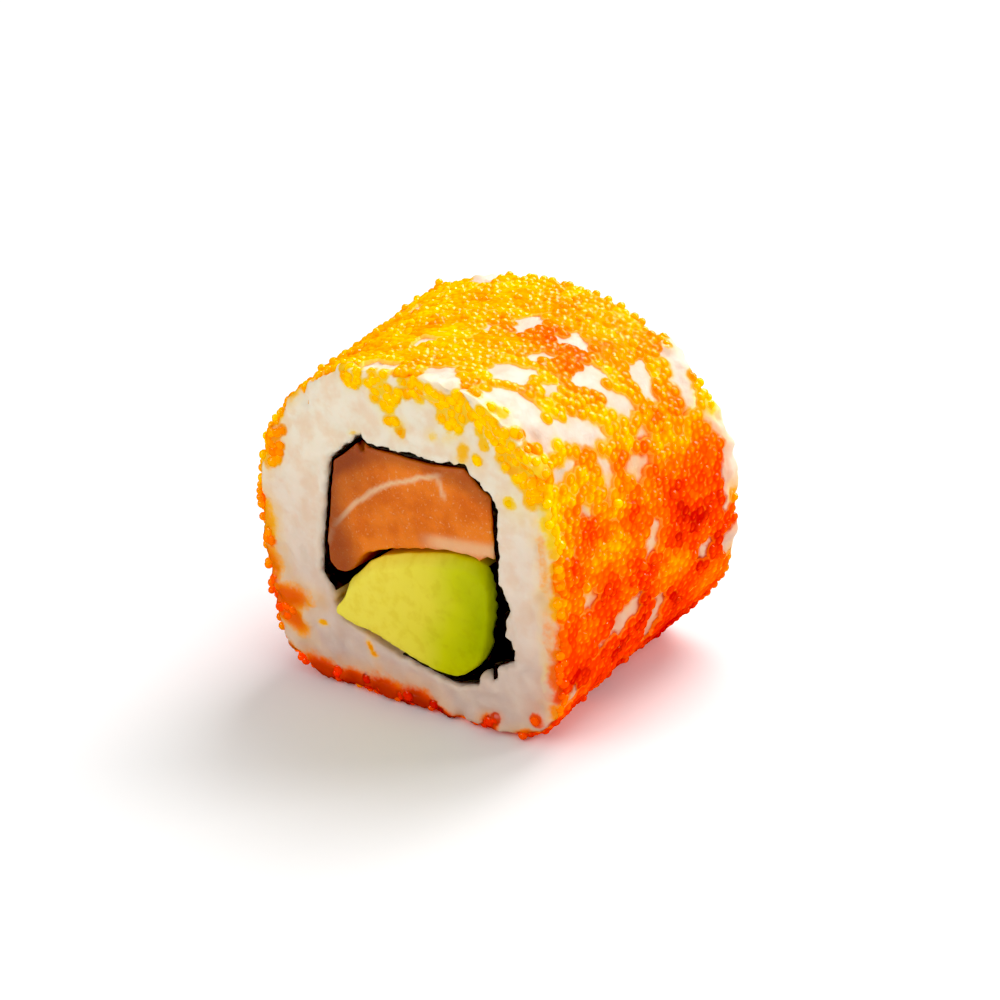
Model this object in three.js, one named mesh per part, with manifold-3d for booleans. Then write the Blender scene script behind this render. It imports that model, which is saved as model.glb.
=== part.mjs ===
// One piece of an inside-out sushi roll: salmon and avocado in a nori sleeve, rice around
// it, and a coat of masago, small fish roe, on the outside. The roll runs along Y and the
// front cut faces -Y. It lies on its pressed flat underside, on z = 0.
import * as THREE from "three";
import { mergeVertices } from "three/addons/utils/BufferGeometryUtils.js";
import Module from "manifold-3d";

const wasm = await Module();
wasm.setup();

// ---------------------------------------------------------------- sizes, in millimetres
const ROLL_LENGTH = 27.4; // between the two knife cuts
const MIDDLE_HEIGHT = 17.7; // of the roll's middle line above the surface that it lies on
const COAT = 1.1; // thickness of the layer of roe
const NORI = 0.4;
const GAP = 0.25; // clearance between pieces that touch
const AVOCADO_PROUD = 0.5; // the avocado stands out of both cuts
const EDGE_LENGTH = 2.4; // the outer edges are rounded over this length at each cut
const EDGE_DROP = 0.7;
const AROUND_STEPS = 40;
const MIDDLE_STATIONS = [0.25, 0.5, 0.75]; // shares of the length where a loft has outlines
const PAST_ROLL = 60; // a width that reaches past the roll on all sides
const PAST_CUT = 1; // how far a cutting body reaches past both cuts

// Slow waves left in the rice by the fingers and the bamboo mat: how many go round the
// roll, how much they slant along it, where they start, and their height.
const WAVES = [
  { lobes: 3, slant: 0.23, start: 1.1, height: 0.138 },
  { lobes: 7, slant: -0.41, start: 2.3, height: 0.11 },
  { lobes: 11, slant: 0.62, start: 0, height: 0.082 },
];

// Half sizes of the pressed roll at its cuts, to the outside of the roe, and how square
// each corner is: 2 is a quarter of an ellipse, and more is squarer. The underside goes
// a little below the surface that the roll lies on, which presses it flat.
const FRONT_SECTION = {
  right: 18, top: 20.3, left: 18.9, bottom: 18.1,
  topRight: 3.8, topLeft: 1.95, bottomLeft: 5, bottomRight: 5,
};
const BACK_SECTION = {
  right: 21.9, top: 19.5, left: 20.8, bottom: 18.1,
  topRight: 2.2, topLeft: 2.75, bottomLeft: 4.4, bottomRight: 2.6,
};

// The channel in the rice, counterclockwise from the lower left: [x, z] from the middle
// line. The rice pushes into it on the right, and two creases of nori reach out there.
const CHANNEL = [
  [-10.3, -9.1], [-1.9, -12.1], [4.8, -13.5], [10.3, -12.1], [10.4, -10], [13.9, -8.4],
  [11.8, -5.8], [12.2, -3.8], [14, -2.6], [12, -1.3], [11.8, 2], [12, 9.3],
  [10.6, 10.1], [8.7, 12.1], [4.3, 11.6], [-2.9, 11.9], [-4.1, 12.8], [-6.2, 11],
  [-8.5, 9.3], [-10.6, 0], [-11.4, -4.4], [-10, -6.6],
];
const NORI_FIRST = 1; // the nori runs from this point of the channel to its last one
const SALMON = [
  [-10, -2.6], [-9.2, -3.6], [-7.6, -3.7], [-6.4, -2.6], [-4.9, -0.8], [2.2, 1.3],
  [7.8, 2.1], [9.9, 1.8], [10.8, 5.2], [10.5, 8.2], [8.2, 10.9], [1.4, 10.7],
  [-2.9, 10.9], [-5.8, 9.9], [-7.5, 8.4], [-8.5, 4.5], [-8.6, 1.5], [-9.8, -1.2],
];
const AVOCADO = [
  [-9.8, -8.6], [-4, -10], [-0.2, -11.3], [3.6, -12.2], [6, -11.9], [8.2, -9.9],
  [9.4, -7.4], [10.3, -1.7], [9.8, 0.9], [7.8, 1.6], [2.3, 0.8], [-4.3, -1.5],
  [-6.3, -3.4], [-7.9, -5], [-8.2, -6.5],
];
// From the front cut to the back cut the fillings move over and spread a little.
const FILLING_DRIFT = { right: 1.3, up: -0.4, spread: 0.07 };
const AVOCADO_SLIP = 0.7; // and the avocado this much further to the right
const FILLING_FACETS = 32;

// Bumps of rice that stand out through the roe. around is the bearing from +X towards +Z
// in degrees, along is measured from the middle of the roll, and turn is the angle of the
// long side from around towards along.
const BUMP_HEIGHT = 2.6;
const BUMP_RISE = 0.25; // of its top above the roe
const BUMP_FACETS = [8, 5];
const SHOWN_BUMPS = [
  { around: 93, along: -12.7, length: 4.4, width: 3, turn: 0 },
  { around: 73, along: -12.4, length: 4.2, width: 3.4, turn: 20 },
  { around: 54, along: -12.2, length: 5.6, width: 3.6, turn: 60 },
  { around: 47, along: -11.4, length: 5, width: 3.2, turn: 110 },
  { around: 42, along: -7.6, length: 4.6, width: 3.2, turn: 115 },
  { around: 38, along: -4.6, length: 4.2, width: 3, turn: 100 },
  { around: 61, along: -7.2, length: 5.2, width: 3, turn: 125 },
  { around: 74, along: 3.1, length: 4.6, width: 3.2, turn: 70 },
  { around: 61, along: 3.4, length: 3.2, width: 2.4, turn: 110 },
  { around: 50, along: -0.4, length: 5.4, width: 2.8, turn: 114 },
  { around: 38, along: 6, length: 3.4, width: 2.6, turn: 40 },
  { around: 39, along: 1.4, length: 4, width: 2.6, turn: 110 },
  { around: 35, along: 11, length: 6.2, width: 2.8, turn: 25 },
  { around: 23, along: 0.4, length: 4, width: 3, turn: 80 },
  { around: 26, along: -4.5, length: 3.8, width: 2, turn: 20 },
  { around: 22, along: 12.4, length: 3.2, width: 2.6, turn: 0 },
  { around: 6, along: 12.3, length: 6.4, width: 2.8, turn: 10 },
  { around: 1, along: 0.5, length: 3.6, width: 2, turn: 0 },
  { around: 352, along: -8.5, length: 3.2, width: 2.6, turn: 0 },
  { around: 345, along: 12, length: 4, width: 2.6, turn: 0 },
  { around: 341, along: -2.9, length: 5.8, width: 2.6, turn: 50 },
  { around: 334, along: 1.6, length: 6, width: 2.4, turn: 10 },
  { around: 110, along: 11.8, length: 4.8, width: 3, turn: 0 },
];
// The far side has them too: one in each cell of a grid over these bearings, off the middle
// of its cell by up to half of scatter. The sizes lie between the two numbers of each pair.
const FAR_SIDE = {
  from: 118, to: 232, rows: 5, columns: 2, scatter: 0.6, margin: 1,
  length: [3.8, 5.8], width: [2.4, 3.2], turn: [0, 180],
};
const FAR_SEED = 41;
const SEED_STEP = 97; // from one bump of the far side to the next

// ------------------------------------------------------------------------------ solids
function toManifold(geometry) {
  geometry.deleteAttribute("normal");
  geometry.deleteAttribute("uv");
  const merged = mergeVertices(geometry, 1e-4);
  return new wasm.Manifold(new wasm.Mesh({
    numProp: 3,
    vertProperties: new Float32Array(merged.attributes.position.array),
    triVerts: new Uint32Array(merged.index.array),
  }));
}

function toGeometry(manifold) {
  const { vertProperties, triVerts } = manifold.getMesh();
  const indexed = new THREE.BufferGeometry();
  indexed.setAttribute("position", new THREE.BufferAttribute(vertProperties, 3));
  indexed.setIndex(new THREE.BufferAttribute(triVerts, 1));
  const faceted = indexed.toNonIndexed();
  faceted.computeVertexNormals();
  return faceted;
}

// Closed solid through outlines in XZ planes, one at each y of stations. outlineAt gives
// the same number of points at each, counterclockwise with X right and Z up.
function loft(outlineAt, stations) {
  const outlines = stations.map(outlineAt);
  const count = outlines[0].length;
  const positions = [];
  outlines.forEach((outline, ring) => {
    outline.forEach((p) => positions.push(p.x, stations[ring], p.y));
  });
  const index = [];
  for (let ring = 0; ring < stations.length - 1; ring += 1) {
    for (let i = 0; i < count; i += 1) {
      const here = ring * count + i;
      const next = ring * count + ((i + 1) % count);
      index.push(here, here + count, next, next, here + count, next + count);
    }
  }
  const last = (stations.length - 1) * count;
  for (const [a, b, c] of THREE.ShapeUtils.triangulateShape(outlines[0], [])) {
    index.push(a, b, c);
  }
  for (const [a, b, c] of THREE.ShapeUtils.triangulateShape(outlines.at(-1), [])) {
    index.push(last + a, last + c, last + b);
  }
  const geometry = new THREE.BufferGeometry();
  geometry.setAttribute("position", new THREE.Float32BufferAttribute(positions, 3));
  geometry.setIndex(index);
  return toManifold(geometry);
}

// The stations of a loft: both cuts, closer together where the edges are rounded.
function stationsBetween(front, back) {
  const near = EDGE_LENGTH / 2;
  const middle = MIDDLE_STATIONS.map((t) => THREE.MathUtils.lerp(front, back, t));
  return [front, front + near, front + 2 * near, ...middle, back - 2 * near, back - near, back];
}

// --------------------------------------------------------------------- the roll's form
const share = (along) => THREE.MathUtils.clamp(along / ROLL_LENGTH + 0.5, 0, 1);

function sectionRadius(section, bearing) {
  const right = Math.cos(bearing) >= 0;
  const above = Math.sin(bearing) >= 0;
  const halfWidth = right ? section.right : section.left;
  const halfHeight = above ? section.top : section.bottom;
  const upper = right ? section.topRight : section.topLeft;
  const lower = right ? section.bottomRight : section.bottomLeft;
  const square = above ? upper : lower;
  const x = Math.abs(Math.cos(bearing) / halfWidth) ** square;
  const z = Math.abs(Math.sin(bearing) / halfHeight) ** square;
  return (x + z) ** (-1 / square);
}

function unevenness(bearing, along) {
  return WAVES.reduce((sum, { lobes, slant, start, height }) => (
    sum + height * Math.sin(lobes * bearing + slant * along + start)
  ), 0);
}

// A point on the roll, depth below the outside of the roe, as x and height over the
// middle line.
function rollPoint(bearing, along, depth) {
  const front = sectionRadius(FRONT_SECTION, bearing);
  const back = sectionRadius(BACK_SECTION, bearing);
  const intoEdge = Math.max(0, Math.abs(along) - ROLL_LENGTH / 2 + EDGE_LENGTH) / EDGE_LENGTH;
  const edge = EDGE_DROP * intoEdge ** 2;
  const full = THREE.MathUtils.lerp(front, back, share(along)) - edge;
  const radius = full + unevenness(bearing, along) - depth;
  const height = radius * Math.sin(bearing);
  return new THREE.Vector2(radius * Math.cos(bearing), Math.max(height, depth - MIDDLE_HEIGHT));
}

function rollBody(depth, front, back) {
  const outlineAt = (along) => Array.from({ length: AROUND_STEPS }, (_, i) => (
    rollPoint((i / AROUND_STEPS) * 2 * Math.PI, along, depth)
  ));
  return loft(outlineAt, stationsBetween(front, back));
}

// -------------------------------------------------------------------- bumps of the rice
function farBumps() {
  const { from, to, rows, columns, scatter, margin } = FAR_SIDE;
  return Array.from({ length: rows * columns }, (_, cell) => {
    const pick = (n) => THREE.MathUtils.seededRandom(FAR_SEED + SEED_STEP * cell + n);
    const between = ([low, high], n) => THREE.MathUtils.lerp(low, high, pick(n));
    const row = Math.floor(cell / columns) + 0.5 + scatter * (pick(1) - 0.5);
    const column = (cell % columns) + 0.5 + scatter * (pick(2) - 0.5);
    return {
      around: THREE.MathUtils.lerp(from, to, row / rows),
      along: (column / columns - 0.5) * (ROLL_LENGTH - 2 * margin),
      length: between(FAR_SIDE.length, 3),
      width: between(FAR_SIDE.width, 4),
      turn: between(FAR_SIDE.turn, 5),
    };
  });
}

// A grain-like bump, lying in the surface. grow makes it larger all round.
function bump({ around, along, length, width, turn }, grow) {
  const bearing = THREE.MathUtils.degToRad(around);
  const angle = THREE.MathUtils.degToRad(turn);
  const place = rollPoint(bearing, along, BUMP_HEIGHT / 2 - BUMP_RISE);
  const step = Math.PI / AROUND_STEPS;
  const side = rollPoint(bearing + step, along, 0).sub(rollPoint(bearing - step, along, 0));
  side.normalize();
  const outward = new THREE.Vector3(side.y, 0, -side.x);
  const across = side.clone().multiplyScalar(Math.cos(angle));
  const longAxis = new THREE.Vector3(across.x, Math.sin(angle), across.y);
  const wideAxis = new THREE.Vector3().crossVectors(longAxis, outward);
  const matrix = new THREE.Matrix4().makeBasis(
    longAxis.multiplyScalar(length / 2 + grow),
    outward.multiplyScalar(BUMP_HEIGHT / 2 + grow),
    wideAxis.multiplyScalar(width / 2 + grow),
  );
  matrix.setPosition(place.x, along, place.y);
  return toManifold(new THREE.SphereGeometry(1, ...BUMP_FACETS).applyMatrix4(matrix));
}

function joined(solids) {
  return solids.reduce((all, solid) => all.add(solid));
}

// ------------------------------------------------------------------------- the fillings
// Moves and spreads a point of the front cut's outlines to where it is at along.
function drifted([x, z], along) {
  const t = share(along);
  const grown = 1 + FILLING_DRIFT.spread * t;
  return new THREE.Vector2(x * grown + FILLING_DRIFT.right * t, z * grown + FILLING_DRIFT.up * t);
}

// The outline moved inwards by distance, with its corners mitred.
function inset(points, distance) {
  return points.map((point, i) => {
    const before = point.clone().sub(points.at(i - 1)).normalize();
    const after = points[(i + 1) % points.length].clone().sub(point).normalize();
    const inward = new THREE.Vector2(-before.y - after.y, before.x + after.x).normalize();
    const mitre = distance / (inward.y * after.x - inward.x * after.y);
    return point.clone().addScaledVector(inward, mitre);
  });
}

const channelAt = (along) => CHANNEL.map((point) => drifted(point, along));

// A strip along the channel's wall with two free ends, so the avocado's point lies bare
// on the rice.
function noriAt(along) {
  const outer = inset(channelAt(along), GAP).slice(NORI_FIRST);
  const inner = inset(channelAt(along), GAP + NORI).slice(NORI_FIRST);
  return [...outer, ...inner.reverse()];
}

// A smooth closed outline through the points, which slips sideways towards the back cut.
function smoothAt(points, slip) {
  const corners = points.map(([x, z]) => new THREE.Vector3(x, 0, z));
  const curve = new THREE.CatmullRomCurve3(corners, true, "centripetal");
  const smooth = curve.getPoints(FILLING_FACETS).slice(1);
  return (along) => smooth.map((p) => drifted([p.x + slip * share(along), p.z], along));
}

// --------------------------------------------------------------------------- the pieces
const front = -ROLL_LENGTH / 2;
const back = ROLL_LENGTH / 2;
const bumps = [...SHOWN_BUMPS, ...farBumps()];

function makeRice() {
  const cutFaces = toManifold(new THREE.BoxGeometry(PAST_ROLL, ROLL_LENGTH, PAST_ROLL));
  const grown = rollBody(COAT + GAP, front, back).add(joined(bumps.map((b) => bump(b, 0))));
  const channel = loft(channelAt, [front - PAST_CUT, back + PAST_CUT]);
  return grown.intersect(cutFaces).subtract(channel);
}

// A sleeve around the rice, open where the bumps come through.
function makeMasago() {
  const inside = rollBody(COAT, front - PAST_CUT, back + PAST_CUT);
  const sleeve = rollBody(0, front, back).subtract(inside);
  return sleeve.subtract(joined(bumps.map((b) => bump(b, GAP))));
}

function makeNori() {
  return loft(noriAt, [front, 0, back]);
}

function makeSalmon() {
  return loft(smoothAt(SALMON, 0), [front, 0, back]);
}

function makeAvocado() {
  const outlineAt = smoothAt(AVOCADO, AVOCADO_SLIP);
  return loft(outlineAt, [front - AVOCADO_PROUD, 0, back + AVOCADO_PROUD]);
}

const PIECES = [
  { name: "rice", make: makeRice, color: 0xf6ece4, roughness: 0.5 },
  { name: "masago", make: makeMasago, color: 0xf98a0a, roughness: 0.3 },
  { name: "nori", make: makeNori, color: 0x14140c, roughness: 0.6 },
  { name: "salmon", make: makeSalmon, color: 0xd5683a, roughness: 0.35 },
  { name: "avocado", make: makeAvocado, color: 0xc3c930, roughness: 0.45 },
];

const roll = new THREE.Group();
roll.name = "masago_sushi_roll";
for (const { name, make, color, roughness } of PIECES) {
  const material = new THREE.MeshStandardMaterial({ color, roughness, metalness: 0 });
  const mesh = new THREE.Mesh(toGeometry(make()), material);
  mesh.name = name;
  roll.add(mesh);
}

// The origin is the middle of the footprint, on the surface that the roll lies on.
const bounds = new THREE.Box3().setFromObject(roll);
const middle = bounds.getCenter(new THREE.Vector3());
roll.position.set(-middle.x, -middle.y, -bounds.min.z);

export default roll;
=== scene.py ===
"""One piece of an inside-out sushi roll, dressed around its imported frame.

The roll runs along Y with its front cut facing -Y. Rice is pressed around a sleeve of nori
that holds salmon and avocado, and masago, small fish roe, coats the outside.
"""

import math

import bmesh
import bpy
import numpy as np
from mathutils import Matrix, Vector, noise
from mathutils.bvhtree import BVHTree
from mathutils.kdtree import KDTree


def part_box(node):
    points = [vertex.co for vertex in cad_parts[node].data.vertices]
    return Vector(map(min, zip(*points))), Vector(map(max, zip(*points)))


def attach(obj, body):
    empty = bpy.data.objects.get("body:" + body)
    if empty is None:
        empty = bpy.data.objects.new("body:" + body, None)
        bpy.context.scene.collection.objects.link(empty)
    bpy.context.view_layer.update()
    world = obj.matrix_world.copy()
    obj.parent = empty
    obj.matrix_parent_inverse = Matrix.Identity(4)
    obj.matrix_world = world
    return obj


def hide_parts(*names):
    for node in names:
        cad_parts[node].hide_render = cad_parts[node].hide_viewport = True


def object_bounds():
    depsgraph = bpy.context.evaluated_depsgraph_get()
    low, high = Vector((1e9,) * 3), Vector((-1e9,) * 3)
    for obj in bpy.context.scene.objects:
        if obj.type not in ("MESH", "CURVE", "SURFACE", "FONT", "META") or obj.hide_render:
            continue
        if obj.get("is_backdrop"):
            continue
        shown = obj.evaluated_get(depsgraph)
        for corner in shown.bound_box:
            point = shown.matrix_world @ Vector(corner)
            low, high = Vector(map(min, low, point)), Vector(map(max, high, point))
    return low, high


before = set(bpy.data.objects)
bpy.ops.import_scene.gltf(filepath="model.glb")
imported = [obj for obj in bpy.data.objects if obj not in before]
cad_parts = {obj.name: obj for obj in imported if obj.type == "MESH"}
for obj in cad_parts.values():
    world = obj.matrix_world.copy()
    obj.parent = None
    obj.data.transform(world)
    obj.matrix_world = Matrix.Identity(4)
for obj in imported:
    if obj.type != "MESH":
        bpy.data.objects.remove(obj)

MM = 0.001
UP = Vector((0, 0, 1))
ALONG = Vector((0, 1, 0))

# ---- sizes from the frame
CAD_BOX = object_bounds()
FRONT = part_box("rice")[0].y
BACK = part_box("rice")[1].y
CUT = {-1: FRONT, 1: BACK}  # where each cut lies, by the side that it faces
MIDDLE = Vector((-0.39 * MM, 0, 17.7 * MM))  # where the roll's middle line crosses y = 0
REACH = 30 * MM  # from the middle line to outside the roll
CHANNEL_REACH = 15 * MM  # from the middle line to past the channel's wall

# ---- sizes of the food
EGG = 0.93 * MM  # across one egg of masago
EGG_SPREAD = 0.07  # how much the eggs differ in size
GRAIN = Vector((5.4, 2.75, 2.4)) * MM  # length, width and thickness of a cooked grain
PATCH_RADIUS = 20  # millimetres from the middle line to a patch, on average
PATCH_LIMIT = 9.0  # millimetres from a patch's middle to where it no longer matters
RICE_VOXEL = 0.33 * MM
FILLING_VOXEL = 0.36 * MM

# Grains that lie so high in the roe that they show: bearing from +X towards +Z in degrees,
# place along the roll, length and width in millimetres, and the turn of the long side from
# around the roll towards along it, in degrees.
THIN_SPOTS = [
    (62, -2.1, 3.2, 1.6, 120),
    (53, -5.3, 2.6, 1.6, 110),
    (45, 6.8, 2.6, 2.0, 100),
    (19, -7.9, 2.8, 2.0, 0),
    (30, 2.2, 2.0, 1.4, 90),
    (348, 8.7, 2.6, 1.8, 20),
    (117, 3.8, 3.0, 1.8, 60),
    (93, -5.7, 3.0, 2.0, 90),
    (84, 0.5, 2.4, 1.6, 45),
    (70, -4.5, 2.2, 1.4, 20),
    (33, -9.8, 3.2, 2.0, 70),
    (10, -10.6, 2.6, 1.8, 40),
    (325, -11.5, 3.6, 2.2, 30),
    (336, -6.5, 2.8, 1.8, 70),
    (20, -8.2, 2.4, 1.6, 0),
    (348, 8.4, 2.2, 2.0, 60),
    (41, 0.3, 3.4, 2.0, 30),
]

# ---- places and angles


def outward_at(bearing):
    """The direction straight out of the middle line; bearings turn from +X towards +Z."""
    return Vector((math.cos(bearing), 0, math.sin(bearing)))


def degrees_apart(bearing, other):
    """How far a bearing is past another, from -180 to 180; either may be an array."""
    return (bearing - other + 180) % 360 - 180


def turned(x, z, degrees):
    """A place as seen along and across an axis that is turned by some degrees."""
    angle = math.radians(degrees)
    return x * math.cos(angle) + z * math.sin(angle), z * math.cos(angle) - x * math.sin(angle)


def from_middle(points):
    """X and Z of each point from the middle line, in millimetres."""
    return (points[:, 0] - MIDDLE.x) / MM, (points[:, 2] - MIDDLE.z) / MM


def axes_matrix(x_axis, y_axis, z_axis, place):
    """The matrix that carries the three axes and the origin to the given ones."""
    rows = [[x_axis[i], y_axis[i], z_axis[i], place[i]] for i in range(3)]
    return Matrix(rows + [[0, 0, 0, 1]])


def eased(values, low, high):
    """0 at low, 1 at high and smooth between; low may be the larger."""
    t = np.clip((np.asarray(values, float) - low) / (high - low), 0, 1)
    return t * t * (3 - 2 * t)


def eased_step(value, low, high):
    """The same for one number, where speed matters."""
    t = min(max((value - low) / (high - low), 0), 1)
    return t * t * (3 - 2 * t)


def waves(points, size, seed, octaves=2):
    """Smooth noise from about -1 to 1 at each point; size is its coarsest wave."""
    shift = Vector((seed * 7.31, seed * 3.77, seed * 1.93))
    values = [
        noise.fractal(Vector(p) / size + shift, 0.6, 2.0, octaves, noise_basis="PERLIN_ORIGINAL")
        for p in points
    ]
    return np.array(values)


def tree_of(mesh):
    """Search tree over a mesh whose object sits at the origin."""
    corners = [v.co.copy() for v in mesh.vertices]
    return BVHTree.FromPolygons(corners, [tuple(p.vertices) for p in mesh.polygons])


def nearest_tree(places):
    """Search tree that finds the places nearest to a point."""
    tree = KDTree(len(places))
    for i, place in enumerate(places):
        tree.insert(place, i)
    tree.balance()
    return tree


NODE_TREES = {name: tree_of(node.data) for name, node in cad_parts.items()}


# ---- the smooth coat's shape


def seen_from_outside(node, bearing, along):
    """Where a node is first met on the way in to the middle line, if it is met."""
    outward = outward_at(bearing)
    start = MIDDLE + outward * REACH + ALONG * along
    return NODE_TREES[node].ray_cast(start, -outward, REACH - CHANNEL_REACH)[0]


# Where the coat stands further out, or less far, than the frame's: bearing and half width in
# degrees, place along the roll, reach and height in millimetres.
SWELLS = [(5, 26, 13, 5, 0.7), (185, 34, -13, 6, -0.4)]
COAT_STEP = 3  # degrees between the bearings where the coat is measured
COAT_STATIONS = 24  # places along the roll where it is measured
EVENED_OPENINGS, EVENED_ALL = 300, 2  # rounds of smoothing over the openings, and of the whole
COAT_SOUND = 2.6 * MM  # nearer to a cut, the coat's edge is too ragged to measure
COAT_FULLER = 0.15 * MM  # makes up for what smoothing takes off


class CoatShape:
    """The coat's outside, smoothed and carried on over its openings and out to both cuts."""

    def __init__(self):
        self.bearings = np.radians(np.arange(0, 360, COAT_STEP))
        self.alongs = np.linspace(FRONT, BACK, COAT_STATIONS)
        found = np.full((len(self.bearings), len(self.alongs)), np.nan)
        for i, bearing in enumerate(self.bearings):
            for j, along in enumerate(self.alongs):
                inside = min(max(along, FRONT + COAT_SOUND), BACK - COAT_SOUND)
                met = seen_from_outside("masago", bearing, inside)
                if met:
                    found[i, j] = math.hypot(met.x - MIDDLE.x, met.z - MIDDLE.z)
        open_place = np.isnan(found)
        radii = np.where(open_place, np.nanmean(found), found)
        for _ in range(EVENED_OPENINGS):
            radii = np.where(open_place, self.evened(radii), radii)
        for _ in range(EVENED_ALL):
            radii = 0.5 * radii + 0.5 * self.evened(radii)
        self.radii = radii + COAT_FULLER
        for middle, half_width, along, reach, height in SWELLS:
            apart = degrees_apart(np.degrees(self.bearings), middle)
            around = np.exp(-((apart / half_width) ** 2))
            further = np.exp(-(((self.alongs / MM - along) / reach) ** 2))
            self.radii += around[:, None] * further * height * MM

    @staticmethod
    def evened(radii):
        """Each radius as the mean of the four beside it."""
        wide = np.pad(radii, ((0, 0), (1, 1)), "edge")
        beside = np.roll(radii, 1, 0) + np.roll(radii, -1, 0)
        return (beside + wide[:, :-2] + wide[:, 2:]) / 4

    def radius(self, bearing, along):
        """From the middle line to the outside, between the measured places too."""
        i = (bearing % (2 * math.pi)) / math.radians(COAT_STEP)
        j = (along - FRONT) / (BACK - FRONT) * (len(self.alongs) - 1)
        j = min(max(j, 0), len(self.alongs) - 1.001)
        a, b = int(i), int(j)
        s, t = i - a, j - b
        a, after = a % len(self.bearings), (a + 1) % len(self.bearings)
        here = self.radii[a, b] * (1 - t) + self.radii[a, b + 1] * t
        there = self.radii[after, b] * (1 - t) + self.radii[after, b + 1] * t
        return here * (1 - s) + there * s

    def point(self, bearing, along):
        out = outward_at(bearing) * self.radius(bearing, along)
        return Vector((MIDDLE.x, along, MIDDLE.z)) + out

    def place(self, bearing, along):
        """A point on the outside and the direction straight out of it."""
        point = self.point(bearing, along)
        around = self.point(bearing + 0.03, along) - self.point(bearing - 0.03, along)
        further = self.point(bearing, along + 0.4 * MM) - self.point(bearing, along - 0.4 * MM)
        return point, further.cross(around).normalized()


COAT = CoatShape()


# ---- meshes


def new_object(name, mesh, material=None):
    made = bpy.data.objects.new(name, mesh)
    bpy.context.scene.collection.objects.link(made)
    if material:
        mesh.materials.append(material)
    return made


def smooth_shaded(mesh):
    mesh.polygons.foreach_set("use_smooth", [True] * len(mesh.polygons))
    return mesh


def mesh_from(name, points, faces):
    mesh = bpy.data.meshes.new(name)
    mesh.from_pydata([tuple(p) for p in points], [], [tuple(f) for f in faces])
    mesh.update()
    return mesh


def points_of(mesh):
    flat = np.empty(len(mesh.vertices) * 3, np.float32)
    mesh.vertices.foreach_get("co", flat)
    return flat.reshape(-1, 3).astype(float)


def normals_of(mesh):
    return np.array([v.normal for v in mesh.vertices])


def mesh_of(shape, name):
    """A finished shape as a mesh; the shape itself is let go."""
    mesh = bpy.data.meshes.new(name)
    shape.to_mesh(mesh)
    shape.free()
    return mesh


def set_points(mesh, points):
    mesh.vertices.foreach_set("co", np.asarray(points, np.float32).ravel())
    mesh.update()


def paint(mesh, name, values):
    """Stores one number for each vertex, for a material to read."""
    layer = mesh.attributes.get(name) or mesh.attributes.new(name, "FLOAT", "POINT")
    layer.data.foreach_set("value", np.asarray(values, np.float32))


def ball(detail):
    """Points and triangles of a unit sphere."""
    shape = bmesh.new()
    bmesh.ops.create_icosphere(shape, subdivisions=detail, radius=1)
    points = np.array([v.co for v in shape.verts])
    faces = np.array([[v.index for v in f.verts] for f in shape.faces])
    shape.free()
    return points, faces


def grain_shape():
    """Points and triangles of a unit grain of rice: fuller at its ends than a ball."""
    points, faces = ball(3)
    fullness = 2.5
    reach = (np.abs(points) ** fullness).sum(axis=1) ** (1 / fullness)
    return points / reach[:, None], faces


def joined_copies(name, shape, matrices):
    """One mesh of a shape repeated under each 4x4 matrix."""
    points, faces = shape
    placed = np.einsum("nij,vj->nvi", matrices[:, :3, :3], points)
    placed += matrices[:, None, :3, 3]
    shifts = np.arange(len(matrices)) * len(points)
    indices = faces[None, :, :] + shifts[:, None, None]
    mesh = bpy.data.meshes.new(name)
    mesh.vertices.add(placed.shape[0] * placed.shape[1])
    mesh.vertices.foreach_set("co", placed.astype(np.float32).ravel())
    corners = indices.reshape(-1)
    mesh.loops.add(len(corners))
    mesh.loops.foreach_set("vertex_index", corners.astype(np.int32))
    count = len(corners) // 3
    mesh.polygons.add(count)
    mesh.polygons.foreach_set("loop_start", np.arange(0, 3 * count, 3, dtype=np.int32))
    mesh.update(calc_edges=True)
    return smooth_shaded(mesh)


def remeshed(mesh, voxel, smoothing):
    """The outside of everything in the mesh as one skin, with its corners softened."""
    rough = new_object("rough", mesh)
    skin = rough.modifiers.new("skin", "REMESH")
    skin.mode = "VOXEL"
    skin.voxel_size = voxel
    soften = rough.modifiers.new("soften", "SMOOTH")
    soften.factor = 0.5
    soften.iterations = smoothing
    evaluated = rough.evaluated_get(bpy.context.evaluated_depsgraph_get())
    made = bpy.data.meshes.new_from_object(evaluated)
    bpy.data.objects.remove(rough)
    return smooth_shaded(made)


# ---- rice


def grain_matrix(place, long_axis, outward, size):
    """A grain centred at place, its long side along long_axis, flat against outward."""
    out = outward.normalized()
    long_side = (long_axis - out * long_axis.dot(out)).normalized()
    wide_side = out.cross(long_side)
    halves = (long_side * size.x / 2, wide_side * size.y / 2, out * size.z / 2)
    return np.array(axes_matrix(*halves, place))


def grain_on_coat(spot, rise, rng):
    """A grain that lies in the coat and rises above it."""
    bearing, along, length, width, turn = spot
    point, normal = COAT.place(math.radians(bearing), along * MM)
    around = normal.cross(ALONG).normalized()
    angle = math.radians(turn)
    long_axis = around * math.cos(angle) + ALONG * math.sin(angle)
    size = Vector((length * MM, width * MM, GRAIN.z * rng.uniform(0.75, 0.9)))
    return grain_matrix(point + normal * (rise - size.z / 2), long_axis, normal, size)


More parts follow.
